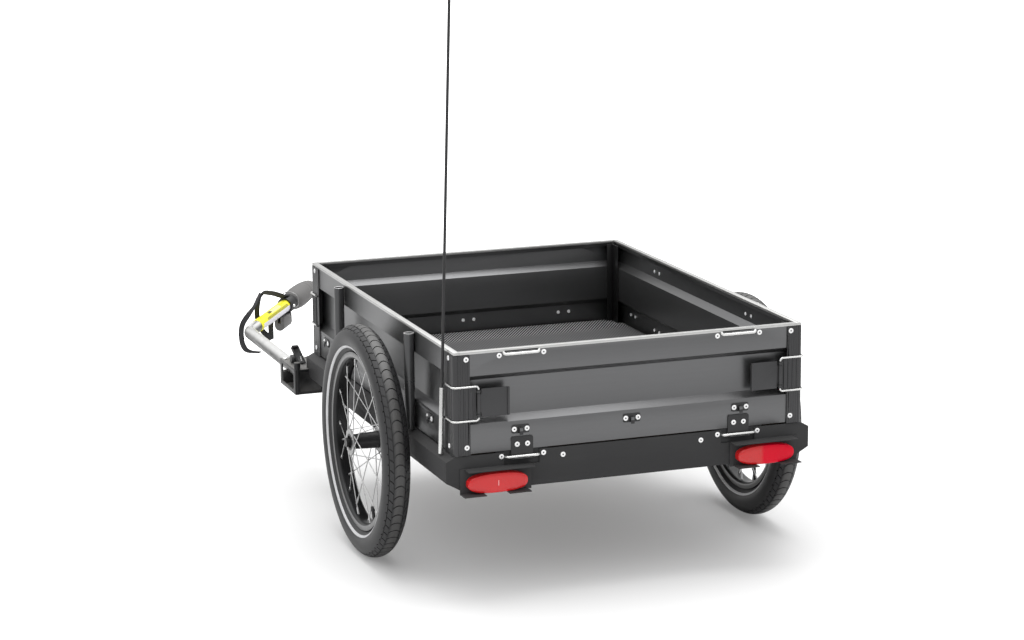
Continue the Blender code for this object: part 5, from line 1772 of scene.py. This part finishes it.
@dataclass
class Base:
    """Rails, floor board, axle, stakes, reflectors and flag rod."""

    half_length: float = 0.4200
    panel_face: float = 0.3150
    panel_depth: float = 0.0021
    beam: Pair = AXLE[1:]
    stake: Pair = (0.3243, 0.2090)
    stake_radius: float = 0.0091
    stake_wall: float = 0.0015
    stake_heights: Pair = (-0.0162, 0.1520)
    stake_rivets: Pair = (0.1310, 0.0150)
    stake_rivet_gap: float = 0.0120
    tail_size: float = 0.75
    rail_rivets: Pair = (-0.1240, 0.1280)
    rail_rivet_z: float = -0.0300
    lamp_x: float = 0.2445
    lamp_z: float = -0.0630
    lamp_half: Pair = (0.0530, 0.0170)
    lamp_back: float = 0.4226
    lamp_crown: tuple[Pair, ...] = (
        (0.0098, 1.0),
        (0.0020, 0.985),
        (0.0012, 0.95),
        (0.0006, 0.88),
        (0.0002, 0.70),
    )
    lamp_steps: int = 64
    fullness: float = 2.6
    flag_foot: Pair = (-0.3258, -0.3775)
    flag_way: Triple = (0.0213, -0.0355, 1)

    def rails(self) -> None:
        """The folded rails, the reflector brackets and the board."""
        for node in ("left_side_rail", "right_side_rail", "rear_cross_rail", "front_cross_rail"):
            Work.carried(node, 0.0008, 25).ready(RAIL_BLACK, "base", node)
        for side in Side:
            node = f"{side.word}_reflector_bracket"
            Work.carried(node, 0.0005, 40).ready(RAIL_BLACK, "base", node)
        Work.carried("floor_board", 0.0005, 40).ready(BOARD, "base", "floor_board")

    def axle(self) -> None:
        """The cross beam with its bosses, and the two stub axles with their buttons."""
        half = ((0.3000, 0.0125), (0.3008, 0.0160), (0.3020, 0.0165), (0.3372, 0.0165), (0.3380, 0.0157))
        half += ((0.3380, 0.0063), (0.2680, 0.0063), (0.2680, 0.0))
        profile = tuple((-x, r) for x, r in reversed(half)) + half
        beam = Work.turned("axle_beam_dressed", profile, 40, aimed((0, *self.beam), (1, 0, 0)))
        beam.ready(RAIL_BLACK, "base", "axle_beam")
        stub = ((0.2683, 0.0), (0.2683, 0.0060), (0.3440, 0.0060), (0.3445, 0.0115), (0.3515, 0.0115))
        stub += ((0.3515, 0.0060), (0.3845, 0.0060), (0.3845, 0.0115), (0.3915, 0.0115), (0.3915, 0.0060))
        stub += ((0.3990, 0.0060), (0.3990, 0.0080), (0.3996, 0.0085), (0.4022, 0.0085), (0.4030, 0.0076))
        stub += ((0.4026, 0.0040), (0.4026, 0.0))
        for side in Side:
            name = f"{side.word}_stub_axle"
            place = aimed((0, *self.beam), (side.value, 0, 0))
            Work.turned(f"{name}_dressed", stub, 36, place).ready(BLACK_PARTS, "base", name)

    def stakes(self, rivets: Rivets) -> None:
        """The four round stakes, open at the top, and the tails of their rivets inside the box.

        Args:
            rivets: takes the rivets.
        """
        low, high = self.stake_heights
        r, bore = self.stake_radius, self.stake_radius - self.stake_wall
        profile = ((low, bore), (low, r), (high - 0.0005, r), (high, r - 0.0004), (high, r - 0.0011))
        profile += ((high - 0.0005, bore),)
        for side in Side:
            inner = side.value * (self.panel_face - self.panel_depth)
            for end in End:
                name = f"{side.word}_{end.word}_stake"
                x, y = side.value * self.stake[0], end.value * self.stake[1]
                tube = Work.turned(f"{name}_dressed", profile, 40, Matrix.Translation((x, y, 0)), ring=True)
                tube.ready(STAKE_GREY, "base", name)
                for z in self.stake_rivets:
                    for gap in (-self.stake_rivet_gap, self.stake_rivet_gap):
                        rivets.at("base", (inner, y + gap, z), (-side.value, 0, 0), self.tail_size)

    def reflectors(self) -> None:
        """The oval red lenses: a disc drawn out, crowned and eased."""
        for side in Side:
            outline = self.oval()
            lens = Work.drawn(f"{side.word}_reflector_dressed", outline + outline[:1])
            with lens.editing():
                lens.weld(HAIR / 2)
                bpy.ops.mesh.edge_face_add()
                for depth, size in self.lamp_crown:
                    lens.push((0, -depth, 0))
                    bpy.ops.transform.resize(value=(size, 1, size), center_override=(0, 0, 0))
            lens.outward()
            lens.moved(Matrix.Translation((side.value * self.lamp_x, -self.lamp_back, self.lamp_z)))
            lens.ready(LENS, "base", f"{side.word}_reflector", smooth=35)

    def oval(self) -> list[Vector]:
        """Lays out the lens's outline, an oval with filled-out ends.

        Returns:
            The outline.
        """
        wide, high = self.lamp_half
        power = 2 / self.fullness
        points = []
        for i in range(self.lamp_steps):
            a = 2 * math.pi * (i + 0.5) / self.lamp_steps
            x, z = (math.copysign(abs(part) ** power, part) for part in (math.cos(a), math.sin(a)))
            points.append(Vector((wide * x, 0, high * z)))
        return points

    def flag(self) -> None:
        """The flag's bright ferrule and its black rod."""
        low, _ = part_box("flag_holder")
        _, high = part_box("flag_pole")
        foot = Vector((*self.flag_foot, low.z + 0.0001))
        way = Vector(self.flag_way).normalized()
        ferrule = ((0, 0), (0, 0.0034), (0.0006, 0.0040), (0.1130, 0.0040), (0.1138, 0.0036))
        ferrule += ((0.1138, 0.0027), (0.0030, 0.0027), (0.0030, 0))
        Work.turned("flag_holder_dressed", ferrule, 32, aimed(foot, way)).ready(STEEL, "base", "flag_holder")
        start = foot + way * 0.0033
        length = (high.z - start.z) / way.z - 0.0002
        rod = ((0, 0), (0, 0.0022), (0.0008, 0.0025), (0.1100, 0.0025), (length - 0.0020, 0.0024))
        rod += ((length - 0.0004, 0.0018), (length, 0.0))
        pole = Work.turned("flag_pole_dressed", rod, 20, aimed(start, way))
        pole.ready(BLACK_PLASTIC, "flag_pole", "flag_pole")

    def build(self, rivets: Rivets) -> None:
        """Makes all of the base.

        Args:
            rivets: takes the rivets.
        """
        self.rails()
        self.axle()
        self.stakes(rivets)
        self.reflectors()
        self.flag()
        for x in self.rail_rivets:
            for end in End:
                rivets.at("base", (x, end.value * self.half_length, self.rail_rivet_z), (0, end.value, 0))


@dataclass
class Drawbar:
    """The bracket, the bent tube in its yellow sleeve, the collar, the boot, the tongue and the strap."""

    tube_radius: float = 0.0125
    tube_back: Triple = (-0.3360, 0.4120, -0.0608)
    bend: float = 0.0450
    sleeve: Pair = (0.0400, 0.1858)
    collar: Pair = (0.1860, 0.2165)
    collar_radius: float = 0.0180
    collar_ribs: int = 3
    clip_foot: float = -0.0060
    clip_shoulder: float = 0.0090
    clip_steps: int = 8
    boot_start: float = 0.2168
    boot_length: float = 0.1050
    boot_shoulder: float = 0.0230
    tongue_root: float = -0.0260
    tongue_lift: float = 0.0050
    post_radius: float = 0.0062
    post_inset: float = 0.0056
    bolt_rows: Pair = (0.4170, 0.5040)
    bolt_z: float = -0.0452
    side_bolt: Pair = (0.4420, -0.0690)
    clamp_axis: Triple = (-0.3435, 0.4630, -0.0364)
    blade_x: float = -0.3325
    blade_lean: float = -0.0075
    blade_tilt: float = 52.0
    strap_width: float = 0.0110
    strap_thickness: float = 0.0018
    strap_lean: Pair = (9.0, 1.6)
    strap_over_leg: tuple[Pair, ...] = (
        (0.1650, 0.0300),
        (0.1214, 0.0480),
        (0.0703, 0.0619),
        (0.0332, 0.0452),
    )
    strap_round_elbow: tuple[Triple, ...] = (
        (-0.0060, 0.0190, 0.0184),
        (-0.0120, 0.0172, 0.0013),
        (-0.0140, 0.0100, -0.0120),
        (-0.0142, -0.0018, -0.0259),
        (-0.0091, -0.0218, -0.0348),
        (0.0098, -0.0468, -0.0342),
    )
    strap_beside_leg: tuple[Triple, ...] = (
        (-0.0010, 0.0745, 0.0612),
        (-0.0060, 0.0673, 0.0474),
        (-0.0170, 0.0810, 0.0129),
        (-0.0185, 0.0908, -0.0074),
        (-0.0060, 0.0783, -0.0215),
        (0.0040, 0.0758, -0.0294),
        (0.0080, 0.0868, -0.0433),
        (0.0040, 0.0994, -0.0322),
        (-0.0040, 0.1180, -0.0218),
        (-0.0140, 0.1492, -0.0162),
    )

    def on_leg(self, across: float, along: float, up: float) -> Vector:
        """A point by its place beside, along and above the second leg."""
        return ELBOW + LEG_ACROSS * across + LEG_WAY * along + LEG_UP * up

    def leg(self) -> Matrix:
        """Turns the lathe's Z along the second leg from the elbow, with X across it."""
        turn = Matrix((LEG_ACROSS, -LEG_UP, LEG_WAY)).transposed().to_4x4()
        return Matrix.Translation(ELBOW) @ turn

    def tube(self) -> None:
        """The tube and its sleeve."""
        r, (start, end) = self.tube_radius, self.sleeve
        tip = self.on_leg(0, self.collar[1] - 0.0036, 0)
        route = rounded((self.tube_back, ELBOW, tip), self.bend, 14)
        Work.wire("drawbar_tube_dressed", route, r, 9).ready(TUBE, "drawbar", "drawbar_tube", smooth=50)
        profile = ((start, r - 0.0002), (start, r + 0.0005), (start + 0.0006, r + 0.0008))
        profile += ((end - 0.0006, r + 0.0008), (end, r - 0.0002))
        Work.turned("tube_sleeve", profile, 40, self.leg(), ring=True).ready(SLEEVE, "drawbar", smooth=40)

    def collar_pieces(self) -> None:
        """The black collar with its ribs and its lug, the cross pin, the bolt and the bright spring clip."""
        start, end = self.collar
        r, bore = self.collar_radius, self.tube_radius + 0.0003
        profile = [(start, bore), (start, r - 0.0012), (start + 0.0010, r - 0.0004)]
        for i in range(self.collar_ribs):
            rib = start + 0.0040 + i * 0.0052
            profile += [(rib, r - 0.0004), (rib + 0.0006, r), (rib + 0.0024, r), (rib + 0.0030, r - 0.0009)]
        profile += [(end - 0.0080, r - 0.0004), (end - 0.0072, r), (end - 0.0010, r), (end, r - 0.0010)]
        profile += [(end, 0), (end - 0.0030, 0), (end - 0.0030, bore)]
        collar = Work.turned("coupling_collar_dressed", profile, 48, self.leg(), ring=True)
        along, up = end - 0.0260, -r - 0.0065
        lug = Work.block("lug", (-0.0027, -0.0040, along - 0.0038), (0.0027, -up + 0.0004, along + 0.0038))
        with lug.editing():
            lug.choose(Pick.EDGES, lambda e: abs(e.verts[0].co.x - e.verts[1].co.x) > 0.001)
            lug.ease(0.0012, 3)
            lug.choose(Pick.CORNERS, lambda v: v.co.y < 0)
            bpy.ops.transform.translate(value=(0, 0.0170, 0))
        lug.moved(self.leg())
        eye = self.barrel("eye", along, up, 0.0038, 0.0060)
        collar.joined(lug, eye).ready(BLACK_PLASTIC, "drawbar", "coupling_collar", smooth=40)
        pin = self.barrel("tongue_pin", along, up, 0.0020, 0.0210)
        bolt = self.barrel("collar_bolt", start + 0.0075, 0.0, 0.0030, 2 * r + 0.0052)
        pin.joined(bolt).ready(STEEL, "drawbar", smooth=50)
        self.clip().ready(FLANGE, "drawbar", smooth=60)

    def clip(self) -> Work:
        """Bends the bright spring clip over the collar's mouth.

        Returns:
            The piece.
        """
        along, across, foot = self.collar[1] - 0.0018, self.collar_radius + 0.0012, self.clip_foot
        route = [self.on_leg(-across, along - 0.0100, foot), self.on_leg(-across, along, foot)]
        for i in range(self.clip_steps + 1):
            a = math.pi * i / self.clip_steps
            up = self.clip_shoulder + (self.collar_radius - 0.0040) * math.sin(a)
            route.append(self.on_leg(-across * math.cos(a), along, up))
        route += [self.on_leg(across, along, foot), self.on_leg(across, along - 0.0100, foot)]
        return Work.wire("collar_clip", rounded(route, 0.0016, 3), 0.0009, 3)

    def barrel(self, name: str, along: float, up: float, radius: float, length: float) -> Work:
        """A short eased bar across the leg.

        Args:
            name: its name.
            along: its place along the leg.
            up: its place above the leg's axis.
            radius: its radius.
            length: its length.

        Returns:
            The piece.
        """
        half, ease = length / 2, radius * 0.2
        profile = ((-half, 0), (-half, radius - ease), (-half + ease, radius), (half - ease, radius))
        profile += ((half, radius - ease), (half, 0))
        return Work.turned(name, profile, 20, aimed(self.on_leg(0, along, up), LEG_ACROSS))

    def boot(self) -> None:
        """The rubber boot: a round shoulder, a waist with two grooves and a socket in its mouth."""
        r, centre = self.boot_shoulder, self.boot_start + self.boot_shoulder
        end = self.boot_start + self.boot_length
        turns = [math.radians(angle) for angle in range(180, 104, -8)]
        profile = [(centre + r * math.cos(a), r * math.sin(a)) for a in turns]
        profile += [(centre + 0.0110, 0.0237), (centre + 0.0240, 0.0236), (centre + 0.0420, 0.0229)]
        profile += [(centre + 0.0440, 0.0221), (centre + 0.0460, 0.0227), (centre + 0.0560, 0.0217)]
        profile += [(centre + 0.0580, 0.0209), (centre + 0.0600, 0.0214), (end - 0.0120, 0.0199)]
        profile += [(end - 0.0060, 0.0184), (end - 0.0010, 0.0176), (end, 0.0166), (end, 0.0110)]
        profile += [(end - 0.0008, 0.0100), (end - 0.0320, 0.0100), (end - 0.0320, 0)]
        boot = Work.turned("coupling_boot_dressed", profile, 48, self.leg())
        boot.ready(BOOT_GREY, "coupling_boot", "coupling_boot", smooth=45)

    def tongue(self) -> None:
        """The tongue under the collar."""
        made = Work.carried("coupling_tongue", 0.0006, 35)
        with made.editing():
            made.choose(Pick.CORNERS, lambda v: (v.co - ELBOW).dot(LEG_UP) > self.tongue_root)
            bpy.ops.transform.translate(value=LEG_UP * self.tongue_lift)
        made.ready(TONGUE_GREY, "coupling_tongue", "coupling_tongue", smooth=35)

    def bracket(self) -> None:
        """The bracket box with a sunk rear face, its corner post, its bolts and the clamp lever."""
        low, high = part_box("drawbar_bracket")

        def is_rear(face: bmesh.types.BMFace) -> bool:
            """Whether a face is the large one at the rear."""
            near = face.calc_center_median().y < low.y + 0.002
            return near and face.normal.y < -0.95 and face.calc_area() > 0.0004

        box = Work.carried("drawbar_bracket", 0.0009, 35)
        with box.editing():
            box.choose(Pick.FACES, is_rear)
            bpy.ops.mesh.inset(thickness=0.0050, depth=0)
            box.push((0, 0.0012, 0))
        box.ready(BRACKET_BLACK, "base", "drawbar_bracket")
        tall, r = high.z - low.z, self.post_radius
        post = ((0.0008, 0), (0.0008, r - 0.0010), (0.0018, r), (tall - 0.0018, r))
        post += ((tall - 0.0008, r - 0.0010), (tall - 0.0008, 0))
        corner = Matrix.Translation((low.x + self.post_inset, low.y + self.post_inset, low.z))
        Work.turned("bracket_post", post, 32, corner).ready(BRACKET_BLACK, "base", smooth=40)
        self.bolts(low, high)
        self.clamp().ready(BLACK_PARTS, "drawbar_clamp_lever", "drawbar_clamp_lever", smooth=40)

    def bolts(self, low: Vector, high: Vector) -> None:
        """The bracket's bolts: four on top, two below and one at the side.

        Args:
            low: the bracket's lowest corner.
            high: its highest corner.
        """
        head = ((0, 0), (0, 0.0050), (0.0012, 0.0050), (0.0030, 0.0038), (0.0036, 0.0020))
        head += ((0.0030, 0.0018), (0.0024, 0))
        near, far = low.x + 0.0070, high.x - 0.0080
        places = [aimed((x, y, self.bolt_z), (0, 0, 1)) for y in self.bolt_rows for x in (near, far)]
        places += [aimed((near, y, low.z), (0, 0, -1)) for y in self.bolt_rows]
        places.append(aimed((low.x + 0.0190, *self.side_bolt), (-1, 0, 0)))
        bolt = Work.turned("bolt", head, 14, Matrix())
        bolt.scattered("bracket_bolts", places).ready(STEEL, "base", smooth=50)

    def clamp(self) -> Work:
        """Makes the clamp lever: a round cam below a slotted, leaning blade with a rolled end.

        Returns:
            The cam, blade and roll as one piece; the bright mark in the slot is a piece of its own.
        """
        axis, lean = Vector(self.clamp_axis), self.blade_lean
        cam = ((-0.0070, 0), (-0.0070, 0.0075), (-0.0060, 0.0083), (0.0060, 0.0083), (0.0070, 0.0075))
        cam += ((0.0070, 0),)
        made = Work.turned("drawbar_clamp_lever_dressed", cam, 32, aimed(axis, (1, 0, 0)))
        blade = Work.block("blade", (-0.0080, -0.0160, 0.0068), (0.0080, 0.0235, 0.0106))

        def is_tip(edge: bmesh.types.BMEdge) -> bool:
            """Whether an edge is an upright one at the blade's far end."""
            a, b = (v.co for v in edge.verts)
            return abs(a.z - b.z) > 0.003 and a.y > 0.0200

        with blade.editing():
            blade.choose(Pick.FACES, lambda f: f.normal.z > 0.9)
            bpy.ops.mesh.inset(thickness=0.0034, depth=0)
            blade.push((0, 0, -0.0018))
        with blade.editing():
            blade.choose(Pick.EDGES, is_tip)
            blade.ease(0.0045, 5)
            blade.choose(Pick.CORNERS, lambda v: v.co.y > 0.0100)
            bpy.ops.transform.translate(value=(lean, 0, 0))
        blade.finer("BEVEL", width=0.0006, segments=2, limit_method="ANGLE", angle_limit=math.radians(35))
        rolled = ((-0.0060, 0), (-0.0060, 0.0026), (-0.0052, 0.0034), (0.0052, 0.0034), (0.0060, 0.0026))
        rolled += ((0.0060, 0),)
        roll = Work.turned("roll", rolled, 20, aimed((lean, 0.0205, 0.0104), (1, 0, 0)))
        mark = Work.block("clamp_slot_mark", (-0.0012, -0.0110, 0.0086), (0.0012, 0.0000, 0.0096))
        mark.finer("BEVEL", width=0.0003, segments=1)
        seat = Matrix.Translation((self.blade_x, axis.y, axis.z))
        seat = seat @ Matrix.Rotation(math.radians(self.blade_tilt), 4, "X")
        for piece in (blade, roll, mark):
            piece.moved(seat)
        mark.ready(STEEL, "drawbar_clamp_lever", smooth=40)
        return made.joined(blade, roll)

    def ribbon(self, name: str, points: Sequence[Point], count: int) -> tuple[bpy.types.Object, list[Vector]]:
        """Flat webbing along a route, with a map that follows it.

        Args:
            name: the piece's name.
            points: what its middle goes through.
            count: how many spans it has.

        Returns:
            The finished strap and the route of its middle.
        """
        route = smooth_route(points, count)
        half, (rate, most) = self.strap_width / 2, self.strap_lean
        left, right, distance = [], [], [0.0]
        for i, (before, here, after) in enumerate(zip(route[:1] + route, route, route[1:] + route[-1:])):
            way = (after - before).normalized()
            share = i / (len(route) - 1)
            level = LEG_ACROSS + LEG_UP * min(most, rate * share) * (1 - share) + LEG_WAY * share
            level = (level - way * level.dot(way)).normalized()
            left.append(here + level * half)
            right.append(here - level * half)
            distance.append(distance[-1] + (after - here).length)
        made = Work.drawn(name, left, right)
        with made.editing():
            made.choose_all()
            bpy.ops.mesh.bridge_edge_loops()
        chart = made.obj.data.uv_layers.new(name="UVMap")
        for loop in made.obj.data.loops:
            at = loop.vertex_index % len(route)
            chart.data[loop.index].uv = (distance[at], half if loop.vertex_index < len(route) else -half)
        made.finer("SOLIDIFY", thickness=self.strap_thickness, offset=0)
        return made.outward().ready(STRAP_BLACK, "drawbar", "safety_strap", smooth=50), route

    def strap(self) -> None:
        """The safety strap: the long strand round the elbow and the short one beside the tube."""
        on_collar = self.collar_radius + 0.0003 + self.strap_thickness / 2
        start = self.collar[0]
        first = ((start + 0.0200, on_collar), (start + 0.0030, on_collar + 0.0003))
        outer = [self.on_leg(0, along, up) for along, up in first + self.strap_over_leg]
        outer += [ELBOW + Vector(gap) for gap in self.strap_round_elbow]
        inner = [self.on_leg(*place) for place in self.strap_beside_leg]
        for name, points, count, end in (
            ("safety_strap_outer", outer, 66, "bare"),
            ("safety_strap_inner", inner, 54, "object"),
        ):
            band, route = self.ribbon(name, points, count)
            length = sum((b - a).length for a, b in zip(route, route[1:]))
            LOG.info("%s is %.0f mm long", name, length * 1000)

    def build(self) -> None:
        """Makes all of the drawbar."""
        self.strap()
        self.tube()
        self.collar_pieces()
        self.boot()
        self.tongue()
        self.bracket()


@dataclass
class Studio:
    """The camera, the pale floor and the soft light."""

    ground: float = -0.2720
    lens: float = 97.46
    place: Triple = (-1.7348, -4.6152, 1.1770)
    yaw: float = 0.348
    pitch: float = 0.2139
    roll: float = -0.0083
    horizon: float = 0.65
    zenith: float = 1.50
    floor_tone: float = 0.66
    glow: float = 0.17
    fade: Pair = (0.95, 1.90)
    lamp_place: Triple = (0.1, 0.3, 2.6)
    lamp_size: float = 2.6
    lamp_power: float = 60.0

    def camera(self) -> None:
        """The camera where the photograph was taken from."""
        data = bpy.data.cameras.new("camera")
        data.sensor_width = 36
        data.sensor_fit = "HORIZONTAL"
        data.lens = self.lens
        data.clip_end = 60
        camera = bpy.data.objects.new("camera", data)
        bpy.context.scene.collection.objects.link(camera)
        level = Vector((math.cos(self.yaw), -math.sin(self.yaw), 0))
        ahead = Vector((math.sin(self.yaw), math.cos(self.yaw), 0)) * math.cos(self.pitch)
        ahead.z = -math.sin(self.pitch)
        above = level.cross(ahead)
        right = level * math.cos(self.roll) + above * math.sin(self.roll)
        up = above * math.cos(self.roll) - level * math.sin(self.roll)
        turn = Matrix((right, up, -ahead)).transposed().to_4x4()
        camera.matrix_world = Matrix.Translation(self.place) @ turn
        bpy.context.scene.camera = camera

    def world(self) -> None:
        """Plain white all round, which lights the object less than it shows."""
        world = bpy.data.worlds.new("studio")
        bpy.context.scene.world = world
        graph = Graph(world, "Background")
        _, _, height = graph.parts(graph.node("ShaderNodeTexCoord"))
        light = self.horizon + height.ramp(0.0, 0.9) * (self.zenith - self.horizon)
        seen = graph.node("ShaderNodeLightPath", output="Is Camera Ray")
        graph.set(Color=(1, 1, 1, 1), Strength=light + seen * (1 - light))

    def floor(self) -> None:
        """A wide pale floor that keeps the shadow."""
        Work.clear()
        bpy.ops.mesh.primitive_plane_add(size=60, location=(0, 0, self.ground))
        floor = Work("studio_floor").settle()
        pale = bpy.data.materials.new("pale floor")
        graph = Graph(pale)
        low, high = self.floor_tone, self.floor_tone + 0.01
        tone = graph.mix(graph.noise(0.7, 2), (low, low, low), (high, high, high))
        seen = graph.node("ShaderNodeLightPath", output="Is Camera Ray")
        distance = graph.vector("LENGTH", graph.place(), (0, 0, 0), "Value")
        graph.set(Base_Color=tone, Roughness=0.9, Emission_Color=(1, 1, 1, 1), Specular_IOR_Level=0.0)
        graph.set(Emission_Strength=seen * (self.glow + distance.ramp(*self.fade)))
        floor.obj.data.materials.append(pale)

    def lamp(self, name: str, place: Point, aim: Point, size: float, power: float) -> None:
        """A square soft lamp.

        Args:
            name: its name.
            place: where it hangs.
            aim: what it points at.
            size: its width.
            power: its power in watts.
        """
        data = bpy.data.lights.new(name, "AREA")
        data.shape = "SQUARE"
        data.size = size
        data.energy = power
        lamp = bpy.data.objects.new(name, data)
        bpy.context.scene.collection.objects.link(lamp)
        way = Vector(aim) - Vector(place)
        lamp.matrix_world = Matrix.Translation(place) @ way.to_track_quat("-Z", "Y").to_matrix().to_4x4()

    def build(self) -> None:
        """Sets the studio up."""
        self.camera()
        self.world()
        self.floor()
        self.lamp("top_light", self.lamp_place, (0, 0, 0), self.lamp_size, self.lamp_power)
        bpy.context.scene.view_settings.view_transform = "Standard"


def main() -> None:
    """Builds the studio and dresses the trailer, piece by piece."""
    logging.basicConfig(level=logging.INFO, format="%(name)s: %(message)s")
    Studio().build()
    LOG.info("studio ready")
    rivets = Rivets()
    for what, build in (
        ("drawbar", Drawbar().build),
        ("base", lambda: Base().build(rivets)),
        ("box", lambda: Box().build(rivets)),
        ("wheels", Wheel().build),
        ("rivets", rivets.build),
    ):
        build()
        LOG.info("%s ready", what)
    LOG.info("dressed")


if __name__ == "__main__":
    main()
